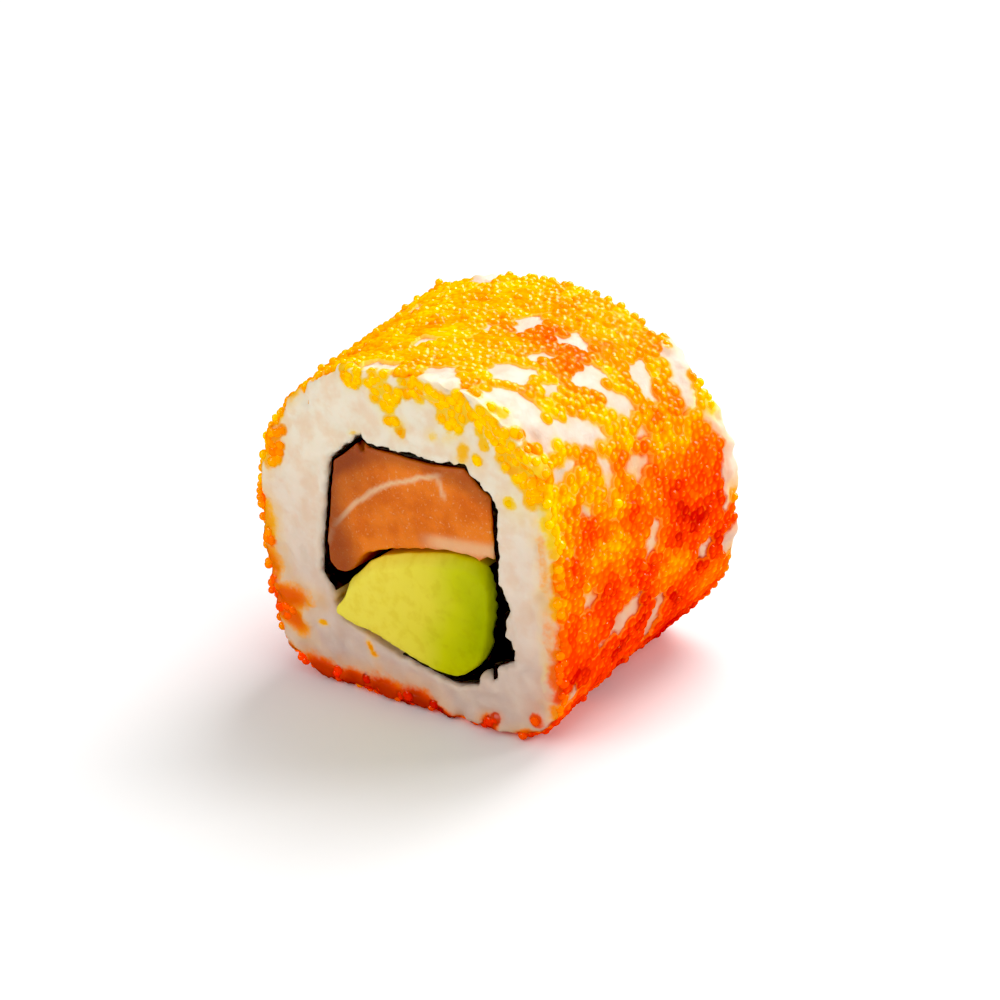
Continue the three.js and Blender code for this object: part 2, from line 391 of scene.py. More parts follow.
def patch_grains(spot, rng):
    """A bare patch as the grains that lie side by side in it and run on under the roe."""
    bearing, along, length, width, turn = spot
    beside = max(1, round(width / 1.7))
    matrices = []
    for i in range(beside):
        step = (i - (beside - 1) / 2) * width / beside + rng.uniform(-0.15, 0.15)
        slide = rng.uniform(-0.1, 0.1) * length
        around, further = turned(slide, step, -turn)
        place = (bearing + math.degrees(around / PATCH_RADIUS), along + further)
        size = (length * rng.uniform(1.4, 1.6), width / beside * rng.uniform(1.7, 2.0))
        grain = (*place, *size, turn + rng.uniform(-14, 14))
        matrices.append(grain_on_coat(grain, rng.uniform(-0.1, 0.08) * MM, rng))
    return matrices


def bare_patches():
    """Patches where the frame's rice shows through its coat, as spots on the coat."""
    bearings = np.arange(0, 360, 1.5)
    alongs = np.arange(FRONT + 0.1 * MM, BACK, 0.45 * MM)
    bare = {}
    for i, bearing in enumerate(np.radians(bearings)):
        for j, along in enumerate(alongs):
            core = seen_from_outside("rice", bearing, along)
            if core and not seen_from_outside("masago", bearing, along):
                bare[i, j] = (core - MIDDLE - ALONG * along).length
    spots = []
    while bare:
        open_cells, cells = [next(iter(bare))], []
        while open_cells:
            cell = open_cells.pop()
            if cell not in bare:
                continue
            cells.append((*cell, bare.pop(cell)))
            near = [(cell[0] + a, cell[1] + b) for a in (-1, 0, 1) for b in (-1, 0, 1)]
            open_cells += [(i % len(bearings), j) for i, j in near]
        spots += patch_spots(cells, bearings, alongs)
    return spots


def patch_spots(cells, bearings, alongs):
    """One patch as a spot: its middle, its long and short sides and its turn."""
    if len(cells) < 4:
        return []
    first = bearings[cells[0][0]]
    degrees = np.array([degrees_apart(bearings[i], first) for i, _, _ in cells])
    radius = np.mean([r for _, _, r in cells])
    across = np.stack([np.radians(degrees) * radius, [alongs[j] for _, j, _ in cells]], 1)
    middle = across.mean(0)
    spread, sides = np.linalg.eigh(np.cov((across - middle).T))
    length, width = 4 * np.sqrt(spread[::-1]) / MM
    turn = math.degrees(math.atan2(sides[1, 1], sides[0, 1]))
    bearing = first + math.degrees(middle[0] / radius)
    return [(bearing, middle[1] / MM, length * 1.1 + 0.5, width * 1.15 + 0.6, turn)]


def rim_grains(side, rng):
    """Grains pressed round the edge of a cut, where the knife wiped the roe away."""
    matrices = []
    rows = [(b, rng.uniform(1.0, 1.5)) for b in np.arange(0, 360, 8)]
    rows += [(b, rng.uniform(2.7, 3.7)) for b in np.arange(36, 150, 8)]
    for bearing, set_in in rows:
        along = CUT[side] - side * set_in * MM
        point, normal = COAT.place(math.radians(bearing + rng.uniform(-2, 2)), along)
        size = GRAIN * rng.uniform(0.85, 1.05)
        lean = normal.cross(ALONG) + ALONG * rng.uniform(-0.6, 0.6)
        place = point - normal * (size.z / 2 + rng.uniform(0.05, 0.4) * MM)
        matrices.append(grain_matrix(place, lean, normal, size))
    return matrices


# Grains that the knife left whole beside the channel and along the top of the front cut:
# place of each middle from the middle line, length and width in millimetres, turn of the
# long side in degrees, and how far it stands proud.
FRONT_GRAINS = [
    (14.6, -4.9, 4.6, 4.0, 60, 0.35),
    (13.0, 0.3, 5.4, 2.6, 98, 0.3),
    (12.6, -10.2, 3.6, 2.4, 20, 0.3),
    (9.6, -12.6, 3.2, 2.2, 150, 0.25),
    (12.2, 16.6, 4.6, 2.6, 72, 0.25),
    (2.7, 16.6, 4.0, 3.0, 95, 0.35),
    (-7.0, 16.0, 7.5, 2.6, 35, 0.4),
    (-1.6, 17.2, 4.6, 2.4, 20, 0.3),
    (10.6, 13.4, 4.6, 3.0, 40, 0.3),
    (16.6, 7.6, 4.4, 2.6, 100, 0.3),
    (16.4, 2.2, 4.6, 2.8, 75, 0.35),
    (16.6, -2.6, 3.8, 2.4, 110, 0.35),
]


def front_grains(rng):
    """The grains of FRONT_GRAINS, lying flat against the front cut."""
    matrices = []
    for x, z, length, width, turn, proud in FRONT_GRAINS:
        place = MIDDLE + Vector((x, 0, z)) * MM
        place.y = FRONT - (proud - GRAIN.z / MM / 2) * MM
        angle = math.radians(turn)
        lean = Vector((math.cos(angle), rng.uniform(-0.1, 0.1), math.sin(angle)))
        size = Vector((length * MM, width * MM, GRAIN.z))
        matrices.append(grain_matrix(place, lean, -ALONG, size))
    return matrices


GRAIN_TRIES = 2600  # how often a place is tried for one more grain on a cut
GRAINS_APART = 1.9 * MM  # least distance between their middles
GRAINS_PRESSED = 0.5 * MM  # depth below the coat's outside where pressing begins
MOST_PROUD = 0.42 * MM  # how far pressed rice may still rise, out of a cut or from that depth


def on_cut(x, z, side):
    """True if the core's rice is cut through at this place; side is -1 at the front."""
    start = Vector((x, side * REACH, z))
    point, _, _, _ = NODE_TREES["rice"].ray_cast(start, ALONG * -side, REACH)
    return point is not None and abs(point.y - CUT[side]) < 0.05 * MM


def cut_grains(side, rng):
    """Grains cut or pushed flat by the knife, just proud of the cut face."""
    matrices, taken = [], []
    for _ in range(GRAIN_TRIES):
        x, z = rng.uniform(-22, 22) * MM, rng.uniform(0.8, 38) * MM
        angle = rng.uniform(0, math.pi)
        size = GRAIN * rng.uniform(0.85, 1.12)
        size.y *= rng.uniform(0.9, 1.25)
        lean = Vector((math.cos(angle), 0, math.sin(angle)))
        ends = [(x, z)]
        for reach, axis in ((size.x / 2, angle), (size.y / 2, angle + math.pi / 2)):
            step = Vector((math.cos(axis), math.sin(axis))) * reach
            ends += [(x + step.x, z + step.y), (x - step.x, z - step.y)]
        near = any(math.hypot(x - a, z - b) < GRAINS_APART for a, b in taken)
        if near or not all(on_cut(*end, side) for end in ends):
            continue
        taken.append((x, z))
        proud = rng.uniform(0.0, 0.45) * MM
        place = Vector((x, CUT[side] + side * (proud - size.z / 2), z))
        tilt = Vector((rng.uniform(-0.12, 0.12), side, rng.uniform(-0.12, 0.12)))
        matrices.append(grain_matrix(place, lean, tilt, size))
    return matrices


def level_with_coat(points):
    """Presses grains that stand out of the coat's outside back into it."""
    x, z = points[:, 0] - MIDDLE.x, points[:, 2] - MIDDLE.z
    radius, bearings = np.hypot(x, z), np.arctan2(z, x)
    outside = np.array([COAT.radius(b, y) for b, y in zip(bearings, points[:, 1])])
    start = outside - GRAINS_PRESSED
    high = np.maximum(0, radius - start)
    pressed = np.minimum(radius, start) + MOST_PROUD * np.tanh(high / (0.6 * MM))
    points[:, 0] = MIDDLE.x + np.cos(bearings) * pressed
    points[:, 2] = MIDDLE.z + np.sin(bearings) * pressed
    return high > 0


def make_rice(patches):
    """One skin over the frame's core and over separate grains, pressed and torn as by hand."""
    rng = np.random.default_rng(11)
    matrices = []
    for spot in patches:
        matrices += patch_grains(spot, rng)
    for side in (-1, 1):
        matrices += rim_grains(side, rng) + cut_grains(side, rng)
    matrices += front_grains(rng)
    grains = joined_copies("grains", grain_shape(), np.array(matrices))
    core = bmesh.new()
    core.from_mesh(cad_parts["rice"].data)
    core.from_mesh(grains)
    mesh = remeshed(mesh_of(core, "pressed"), RICE_VOXEL, 2)
    mesh.name = "rice_grains"
    points, normals = points_of(mesh), normals_of(mesh)
    lumps = waves(points, 2.4 * MM, 3, 3) * 0.17 * MM
    wall = near_channel(points)
    torn = wall * (0.2 + 0.25 * waves(points, 0.9 * MM, 4, 2)) * MM
    points += normals * (lumps + torn)[:, None]
    for side, edge in CUT.items():
        proud = np.maximum(0, side * (points[:, 1] - edge))
        points[:, 1] -= side * (proud - MOST_PROUD * np.tanh(proud / MOST_PROUD))
    outer = level_with_coat(points)
    rim = outer * eased(np.abs(points[:, 1]), BACK - 4 * MM, BACK - 1.5 * MM)
    bumps = 0.07 * waves(points, 1.2 * MM, 6, 2) + 0.5 * rim * waves(points, 2.3 * MM, 9, 2)
    points += normals * [1, 0.3, 1] * (outer * bumps * MM)[:, None]
    points[:, 2] = np.maximum(points[:, 2], 0.05 * MM)
    set_points(mesh, points)
    return mesh


def near_channel(points):
    """1 for rice beside the nori, fading to 0 a millimetre away."""
    away = np.array([NODE_TREES["nori"].find_nearest(Vector(p))[3] for p in points])
    return eased(away, 1.1 * MM, 0.5 * MM)


# ---- roe


class Spacing:
    """Remembers places, and says whether a new one is far enough from them."""

    def __init__(self, least):
        self.least = least
        self.cells = {}

    def cell(self, place):
        return tuple(int(math.floor(c / self.least)) for c in place)

    def take(self, place):
        x, y, z = self.cell(place)
        for i in range(x - 1, x + 2):
            for j in range(y - 1, y + 2):
                for k in range(z - 1, z + 2):
                    for other in self.cells.get((i, j, k), ()):
                        if (other - place).length < self.least:
                            return False
        self.cells.setdefault((x, y, z), []).append(place)
        return True


def above_rice(place, rice_tree):
    """Signed distance from the rice's surface; below it is negative."""
    near, normal, _, distance = rice_tree.find_nearest(place)
    return distance if (place - near).dot(normal) > 0 else -distance


EGG_DEPTH = 0.34 * MM  # of the middle of an egg below the coat's outside
EGG_DARTS = 52000  # how often a place is tried for one more egg
EGG_SINK = 0.1 * EGG  # how far the middle of an egg may sink into rice
MOST_LIFT = 0.3 * MM  # how far rice may lift an egg
EGG_FROM_CUT = 0.35 * EGG  # least distance from the middle of an egg to a cut
# Least height of the middle of an egg above the floor: in the coat's skin, whole, and loose.
COAT_EGG_HEIGHT, WHOLE_EGG_HEIGHT, LOOSE_EGG_HEIGHT = 0.46 * EGG, 0.58 * EGG, 0.6 * EGG
EGGS_APART = 0.71 * MM  # least distance between the middles of two eggs
RIM_REACH = 1.05 * MM  # from each cut, how far in eggs are whole
PROUD_EGGS = 190  # how many whole eggs stick to the coat elsewhere

# Where rice shows between the roe and the edges of both cuts: bearing and half width in
# degrees, and how far it reaches along the roll in millimetres.
RIM_GAPS = [(119, 15, 1.2), (81, 5, 0.2), (56, 6, 0.2), (5, 38, 0.55), (-48, 6, 1.0)]
RIM_WAVES = [(1.1, 5), (0.9, 13), (0.9, 31)]  # how ragged the roe's edge is: height and fineness


def rim_setback(bearing):
    """How far the roe stops short of either cut, by bearing."""
    around = Vector((math.cos(bearing), math.sin(bearing), 0))
    ragged = sum(size * noise.noise(around * fine + UP * 7) for size, fine in RIM_WAVES)
    gaps = 0
    for middle, half_width, reach in RIM_GAPS:
        apart = degrees_apart(math.degrees(bearing), middle)
        gaps += reach * math.exp(-((apart / half_width) ** 2))
    return (0.1 + gaps + ragged) * MM


def bare_depth(bearing, along, patches):
    """How far inside a bare patch a place is, in millimetres; negative outside."""
    place = Vector((math.cos(bearing), math.sin(bearing), 0)) * PATCH_RADIUS + UP * along / MM
    ragged = 0.75 * noise.noise(place / 2.2) + 0.4 * noise.noise(place / 0.9)
    deepest = -PATCH_LIMIT
    for middle, centre, length, width, turn in patches:
        around = math.radians(degrees_apart(math.degrees(bearing), middle)) * PATCH_RADIUS
        further = along / MM - centre
        if abs(around) + abs(further) > PATCH_LIMIT:
            continue
        long_way, short_way = turned(around, further, turn)
        inside = (1 - math.hypot(long_way / (length / 2), short_way / (width / 2))) * width / 2
        deepest = max(deepest, inside + ragged)
    return deepest


def bare_at_rim(place, from_cut, height):
    """True where the rim has no egg: too far above the rice, and between clusters of eggs."""
    if from_cut < 1.2 * MM and height > 0.6 * MM:
        return True
    return from_cut < 0.8 * MM and noise.noise(place / (1.4 * MM)) > 0.2


def coat_eggs(rice_tree, patches):
    """Eggs packed in the coat and lifted where rice is in the way: place and normal."""
    rng = np.random.default_rng(101)
    room = Spacing(EGGS_APART)
    eggs = []
    for _ in range(EGG_DARTS):
        bearing = rng.uniform(0, 2 * math.pi)
        along = rng.uniform(FRONT, BACK)
        if min(along - FRONT, BACK - along) < rim_setback(bearing):
            continue
        if bare_depth(bearing, along, patches) > rng.uniform(-0.22, 0.0):
            continue
        point, normal = COAT.place(bearing, along)
        place = point - normal * (EGG_DEPTH + rng.normal(0, 0.08) * MM)
        place.y = min(max(along, FRONT + EGG_FROM_CUT), BACK - EGG_FROM_CUT)
        height = above_rice(place, rice_tree)
        if bare_at_rim(place, BACK - abs(along), height):
            continue
        place += normal * min(max(0, -EGG_SINK - height), MOST_LIFT)
        place.z = max(place.z, COAT_EGG_HEIGHT)
        if room.take(place):
            eggs.append((place, normal))
    return eggs


def whole_eggs(eggs, rng):
    """Places of the eggs at both rims, and of some that stick to the coat elsewhere."""
    chosen = rng.choice(len(eggs), PROUD_EGGS, replace=False)
    places = [place.copy() for place, _ in eggs if abs(place.y) > BACK - RIM_REACH]
    for place in places:
        place.z = max(place.z, WHOLE_EGG_HEIGHT)
    for i in chosen:
        place, normal = eggs[i]
        sideways = Vector(rng.normal(0, 0.25, 3)) * MM
        higher = place + sideways + normal * rng.uniform(0.05, 0.24) * MM
        if higher.z > 1.5 * MM:
            places.append(higher)
    return np.array(places)


# Patches of roe that are paler or deeper than what is around them: bearing in degrees, place
# along the roll and reach in millimetres, and the change of tone.
TONE_PATCHES = [
    (20, -13.5, 1.6, -0.15),
    (60, 1.0, 6.5, 0.2),
    (118, -4.0, 6.0, 0.08),
    (2, 9.0, 4.5, 0.3),
    (24, -10.5, 3.5, -0.12),
    (66, 2.5, 2.2, 0.3),
    (52, -0.5, 2.0, 0.25),
    (34, 7.0, 4.0, 0.12),
    (8, 2.0, 4.5, 0.1),
    (128, -10.0, 3.0, 0.15),
    (-22, 9.0, 2.5, -0.3),
    (-14, 4.0, 2.0, -0.2),
    (-38, -12.0, 2.2, -0.15),
    (14, -4.0, 2.2, -0.25),
    (24, 11.5, 2.0, -0.3),
]
TOP_TONE = 0.12
# How the tone deepens down either side, partly the roe's own colour and partly painted shade: from
# one bearing to another in degrees, and how much.
TONE_AND_SHADE_STEPS = [(44, 6, 0.37), (6, -40, 0.3), (-30, -70, 0.14)]


def egg_tones(places, seed):
    """0 for pale gold at the top to 1 for deep red orange low down, in drifting patches; the
    deepening downwards is partly painted shade.
    """
    rng = np.random.default_rng(seed)
    x, z = from_middle(places)
    bearing = np.degrees(np.arctan2(z, x))
    slope = np.where(x > 0, bearing, (180 - np.abs(bearing)) * np.sign(z))
    tones = np.full(len(places), TOP_TONE)
    for high, low, change in TONE_AND_SHADE_STEPS:
        tones += change * eased(slope, high, low)
    tones -= 0.25 * eased(np.abs(places[:, 1]), BACK - 2.2 * MM, BACK - 0.6 * MM) * (tones > 0.2)
    for middle, along, reach, change in TONE_PATCHES:
        apart = np.radians(degrees_apart(bearing, middle)) * np.hypot(x, z)
        away = np.hypot(apart, places[:, 1] / MM - along)
        tones += change * np.exp(-((away / reach) ** 2))
    drift = 0.16 + 0.14 * eased(slope, 60, 25)
    tones += waves(places, 4 * MM, seed, 2) * drift + waves(places, 1.5 * MM, seed + 1, 1) * 0.08
    return np.clip(tones + rng.normal(0, 0.03, len(places)), 0, 1)


def egg_mesh(name, places, tones, seed, pressed=None):
    """Eggs as slightly uneven balls, joined; pressed gives the face each is flattened on."""
    rng = np.random.default_rng(seed)
    count = len(places)
    axes = np.linalg.qr(rng.normal(size=(count, 3, 3)))[0]
    sizes = EGG / 2 * rng.normal(1, EGG_SPREAD, (count, 1)).clip(0.82, 1.15)
    stretch = sizes * rng.normal(1, 0.04, (count, 3))
    matrices = np.zeros((count, 4, 4))
    matrices[:, :3, :3] = np.einsum("nij,nj->nij", axes, stretch)
    if pressed is not None:
        share = rng.uniform(0.3, 0.6, (count, 1, 1))
        flat = pressed[:, :, None] * pressed[:, None, :]
        flatten = (1 + 0.35 * share) * np.eye(3) - 1.6 * share * flat
        matrices[:, :3, :3] = flatten @ matrices[:, :3, :3]
    matrices[:, :3, 3] = places
    matrices[:, 3, 3] = 1
    shape = ball(2)
    mesh = joined_copies(name, shape, matrices)
    paint(mesh, "tone", np.repeat(tones, len(shape[0])))
    paint(mesh, "egg", np.ones(len(mesh.vertices)))
    return mesh


# The coat's skin in parts: name, bearings from and to, and how many points run between them.
COAT_PARTS = [
    ("masago_right", -50, 55, 368),
    ("masago_top", 55, 160, 368),
    ("masago_under", 160, 310, 300),
]
COAT_ROWS = 260  # points along the roll
SEAM = math.radians(0.6)  # how far each part runs on past a seam, dipping under the next
SEAM_DIP = 0.06 * MM
COAT_INSIDE = 2.6 * MM  # depth of the skin's hidden side, within the rice
INSIDE_HEIGHT = 0.8 * MM  # least height of the hidden side above the floor
LEAST_HEIGHT = 0.02 * MM  # least height of the skin itself
SKIN_END = 0.5 * MM  # from each cut to where the skin ends, behind the rim's eggs
SKIN_ROUNDED = 0.6 * MM  # over which it curves down to its end
SKIN_DROP = 0.5 * MM  # how far down it curves
JELLY_DEPTH = 0.08 * MM  # of the jelly between eggs, below the coat's outside
JELLY_DEEPER = 0.15  # how much deeper its tone is than the nearest egg's: painted shade between the eggs, partly also the deeper colour of thicker jelly
JELLY_REACH = 0.85 * MM  # from the middle of an egg to the end of its jelly
JELLY_EDGE = 0.16 * MM  # the width over which the jelly ends
NEAR_EGGS = 5  # how many eggs can shape one point of the skin
PROBE = 1.5  # millimetres above the coat, from where the rice under it is looked for
NO_RICE = -2 * MM  # taken as the rice's height where none is met
OVER_RICE, MOST_OVER_RICE = 0.05 * MM, 0.1 * MM  # how far jelly covers a grain that stands out
UNDER_RICE = 0.45 * MM  # how far the skin dives under the rice where there is no roe
MELT = 0.06 * MM  # how softly eggs and jelly run into each other
PAINTED_GLOW_PLACE = Vector((0, -0.1, -0.15)) * MM  # in an egg, from its middle to a painted glow where light would gather
PAINTED_GLOW_REACH = 0.13 * MM


def jelly_level(point):
    """Height of the jelly between eggs: it covers them in some places, most on the right."""
    patchy = 0.2 * noise.noise(point / (4.5 * MM)) + 0.08 * noise.noise(point / (1.6 * MM))
    ripples = 0.05 * noise.noise(point / (0.42 * MM))
    low = 0.08 * eased_step(point.z, 15 * MM, 9 * MM) * eased_step(point.x, 2 * MM, 8 * MM)
    return (patchy + ripples + low) * MM - JELLY_DEPTH


def skin_point(point, normal, tree, sizes, tones, rice_tree):
    """The coat over a point of its smooth outside: height, tone, and how thin and how much egg."""
    near = tree.find_n(point - normal * EGG_DEPTH, NEAR_EGGS)
    heights, layer_tones = [jelly_level(point)], [tones[near[0][1]] + JELLY_DEEPER]
    closest = math.inf
    for place, i, _ in near:
        away = place - point
        up = away.dot(normal)
        sideways = math.sqrt(max(away.length_squared - up * up, 0))
        closest = min(closest, sideways)
        if sideways < sizes[i]:
            heights.append(up + math.sqrt(sizes[i] ** 2 - sideways**2))
            # Painted shade deepens each egg towards its edge, and a painted glow pales it where
            # light would gather.
            off_painted_glow = (away - normal * up + PAINTED_GLOW_PLACE).length / PAINTED_GLOW_REACH
            painted_shade_and_glow = 0.16 * (sideways / sizes[i]) ** 3 - 0.3 * math.exp(-(off_painted_glow**2))
            layer_tones.append(tones[i] + painted_shade_and_glow)
    eggs = len(heights)
    start = point + normal * PROBE * MM
    _, _, _, distance = rice_tree.ray_cast(start, -normal, 4 * MM)
    rice = PROBE * MM - distance if distance is not None else NO_RICE
    heights.append(min(rice + OVER_RICE, MOST_OVER_RICE))
    layer_tones.append(layer_tones[0])
    highest = max(heights)
    shares = [math.exp((h - highest) / MELT) for h in heights]
    total = sum(shares)
    full = highest + MELT * math.log(total)
    tone = sum(share * layer_tone for share, layer_tone in zip(shares, layer_tones)) / total
    egg = sum(shares[1:eggs]) / total
    cover = eased_step(closest, JELLY_REACH, JELLY_REACH - JELLY_EDGE)
    height = cover * full + (1 - cover) * (min(rice, full) - UNDER_RICE)
    thin = min(max((closest - 0.56 * MM) / (0.28 * MM), 0), 1)
    return height, tone, thin, egg


def coat_skin(part, sizes, tones, egg_tree, rice_tree):
    """One part of the coat as a closed skin: eggs and jelly outside, and a plain hidden side."""
    name, first, last, columns = part
    first, last = math.radians(first), math.radians(last)
    alongs = np.linspace(FRONT + SKIN_END, BACK - SKIN_END, COAT_ROWS)
    bearings = np.linspace(first - SEAM, last + SEAM, columns)
    points, painted = [], []
    for bearing in bearings:
        dip = SEAM_DIP * max(first - bearing, bearing - last, 0) / SEAM
        for along in alongs:
            point, normal = COAT.place(bearing, along)
            height, *shares = skin_point(point, normal, egg_tree, sizes, tones, rice_tree)
            from_end = min(along - alongs[0], alongs[-1] - along) / SKIN_ROUNDED
            point += normal * (height - dip - SKIN_DROP * max(0, 1 - from_end) ** 2)
            point.z = max(point.z, LEAST_HEIGHT)
            points.append(point)
            painted.append(shares)
    outer = len(points)
    for bearing in bearings:
        for along in (alongs[0], alongs[-1]):
            point, normal = COAT.place(bearing, along)
            point = point - normal * COAT_INSIDE
            point.z = max(point.z, INSIDE_HEIGHT)
            points.append(point)
            painted.append((0.5, 0, 0))
    mesh = smooth_shaded(mesh_from(name, points, skin_faces(columns, COAT_ROWS)))
    for polygon in mesh.polygons:
        polygon.use_smooth = max(polygon.vertices) < outer
    painted_tones, thin, egg = np.array(painted).T
    paint(mesh, "tone", np.clip(painted_tones, 0, 1))
    paint(mesh, "thin", thin)
    paint(mesh, "egg", egg)
    return mesh


def skin_faces(columns, rows):
    """Faces of a grid of points, closed by a hidden side that has two points for each column."""
    outer = columns * rows
    faces = []
    for i in range(columns - 1):
        left, right = i * rows, (i + 1) * rows
        for j in range(rows - 1):
            faces.append((left + j, left + j + 1, right + j + 1, right + j))
        front, back = outer + 2 * i, outer + 2 * i + 1
        faces.append((front, front + 2, back + 2, back))
        faces.append((left, right, front + 2, front))
        faces.append((right + rows - 1, left + rows - 1, back, back + 2))
    last, inside = (columns - 1) * rows, outer + 2 * (columns - 1)
    faces.append((*range(rows - 1, -1, -1), outer, outer + 1))
    faces.append((*range(last, last + rows), inside + 1, inside))
    return faces


def coat_skins(eggs, tones, rice_tree):
    """The name and the mesh of each part of the coat."""
    egg_tree = nearest_tree([place for place, _ in eggs])
    rng = np.random.default_rng(303)
    sizes = EGG / 2 * rng.normal(1, EGG_SPREAD, len(eggs)).clip(0.85, 1.15)
    for part in COAT_PARTS:
        yield part[0], coat_skin(part, sizes, tones, egg_tree, rice_tree)


# Loose roe on the front cut: the place of each clump from the middle line and its spread,
# in millimetres, how many eggs it has, and its tone, deeper low down partly as painted shade.
FRONT_CLUMPS = [
    (-0.4, 18.4, 0.9, 11, 0.05),
    (0.6, 17.4, 0.6, 6, 0.08),
    (6.4, 18.4, 0.7, 8, 0.08),
    (9.4, 18.0, 0.7, 7, 0.1),
    (13.2, 16.0, 0.7, 8, 0.1),
    (-3.6, 18.9, 1.0, 9, 0.1),
    (3.2, 18.8, 1.0, 10, 0.12),
    (11.4, 17.3, 1.1, 12, 0.12),
    (14.2, 15.4, 0.9, 9, 0.15),
    (0.1, 16.3, 0.5, 4, 0.1),
    (0.4, 14.9, 0.5, 4, 0.1),
    (1.4, 13.9, 0.3, 2, 0.1),
    (6.6, 17.4, 0.4, 3, 0.08),
    (8.0, 17.6, 1.0, 8, 0.1),
    (7.8, 16.2, 0.6, 5, 0.1),
    (4.7, 18.3, 0.1, 1, 0.08),
    (13.5, 18.3, 0.2, 1, 0.08),
    (10.7, 15.5, 0.1, 1, 0.1),
    (11.2, 14.6, 0.3, 2, 0.1),
    (10.4, 12.9, 0.1, 1, 0.0),
    (13.7, 8.9, 0.1, 1, 0.0),
    (14.8, -14.6, 0.1, 1, 0.7),
    (14.8, 13.8, 0.9, 8, 0.1),
    (15.8, 12.3, 0.9, 8, 0.15),
    (16.8, 10.8, 0.7, 6, 0.2),
    (-15.6, 12.2, 0.7, 7, 0.25),
    (-15.6, 10.6, 1.0, 12, 0.4),
    (-16.0, 8.6, 0.8, 8, 0.35),
    (-17.9, -1.8, 0.5, 3, 0.4),
    (-18.2, -7.4, 0.7, 4, 0.6),
    (-16.6, -10.6, 0.7, 4, 0.6),
    (-11.0, -16.6, 0.7, 2, 0.9),
    (-6.0, -17.2, 1.0, 3, 0.95),
    (-1.6, -17.2, 1.0, 3, 0.97),
    (2.4, -17.4, 0.8, 2, 1.0),
    (9.0, -16.4, 0.5, 3, 0.9),
]

# Roe crushed into a film on the front cut: place from the middle line, half its length and
# half its width in millimetres, turn of its length in degrees, tone and how thick it lies; the
# tone is deeper low down partly as painted shade.
FRONT_FILM = [
    (-18.4, -0.2, 2.9, 1.9, 92, 0.3, 0.95),
    (-18.6, -4.8, 3.2, 2.2, 90, 0.45, 0.95),
    (-16.8, -8.6, 3.8, 1.7, 8, 0.56, 1.0),
    (-16.4, -10.6, 3.0, 1.4, -38, 0.55, 1.0),
    (-19.0, -9.0, 2.6, 2.2, 90, 0.6, 1.0),
    (-18.3, -14.0, 2.6, 1.1, 112, 0.5, 0.75),
    (-16.6, -15.8, 2.6, 1.4, -48, 0.6, 0.9),
    (-12.2, -16.6, 3.0, 1.8, -18, 0.8, 1.0),
    (-8.2, -17.2, 2.8, 2.1, -5, 0.85, 1.0),
    (-4.4, -17.2, 3.0, 2.5, 0, 0.85, 1.0),
    (-0.4, -17.3, 3.0, 2.3, 0, 0.9, 1.0),
    (2.8, -17.6, 2.2, 1.2, 0, 0.9, 1.0),
    (9.0, -16.9, 1.1, 1.2, 0, 0.85, 1.0),
    (13.6, -16.9, 2.0, 1.0, 12, 0.55, 0.8),
    (-11.7, -10.5, 0.7, 0.3, 5, 0.25, 1.0),
    (-5.6, -11.7, 0.7, 0.4, -70, 0.35, 1.0),
    (-5.2, -12.5, 0.5, 0.4, -10, 0.35, 0.9),
    (-0.7, -11.0, 0.6, 0.3, -30, 0.4, 1.0),
    (-4.6, 12.6, 0.5, 0.2, 10, 0.15, 0.9),
    (-15.6, 10.2, 2.6, 1.4, 80, 0.35, 0.95),
    (-16.6, 7.0, 1.4, 0.6, 90, 0.25, 0.7),
    (-12.4, 15.2, 1.4, 0.8, 50, 0.15, 0.7),
    (8.7, 13.2, 1.3, 0.8, 70, 0.15, 0.75),
    (7.4, 14.6, 1.2, 0.8, 30, 0.03, 0.45),
    (5.4, 14.3, 0.6, 0.6, 0, 0.0, 0.5),
    (1.2, 14.4, 1.0, 0.8, 60, 0.05, 0.6),
    (15.4, 12.4, 2.6, 1.0, 120, 0.12, 0.75),
    (17.0, 3.0, 4.6, 0.8, 92, 0.3, 0.45),
    (17.1, -5.0, 4.0, 0.8, 88, 0.4, 0.45),
]


def back_clumps(rng):
    """The back cut has its own loose roe, spread by chance near the edge."""
    clumps = []
    for bearing in np.radians(rng.uniform(0, 360, 16)):
        radius = rng.uniform(15.5, 18.5)
        spread = rng.uniform(0.3, 1.2)
        x, z = radius * math.cos(bearing), radius * math.sin(bearing)
        # The tone deepens lower down, partly the roe's colour and partly painted shade, as on the
        # coat.
        tone = 0.45 - 0.4 * math.sin(bearing)
        clumps.append((x, max(-16, z), spread, int(2 + 7 * spread), tone))
    return clumps


def back_film(rng):
    """The film on the back cut lies around its edge by chance."""
    film = []
    for bearing in rng.uniform(0, 360, 14):
        angle, radius = math.radians(bearing), rng.uniform(16.5, 18.5)
        x, z = radius * math.cos(angle), radius * math.sin(angle)
        sides = (rng.uniform(0.8, 2.2), rng.uniform(0.7, 1.4))
        turn, thickness = bearing + rng.uniform(30, 150), rng.uniform(0.4, 0.75)
        # Its tone deepens lower down, partly the roe's colour and partly painted shade, as on the
        # coat.
        film.append((x, max(-16.8, z), *sides, turn, 0.5 - 0.4 * math.sin(angle), thickness))
    return film


LOOSE_APART = 0.8 * EGG  # least distance between the middles of two loose eggs
FACE_DEPTH = 1.6 * MM  # rice further in than this isn't part of a cut's face


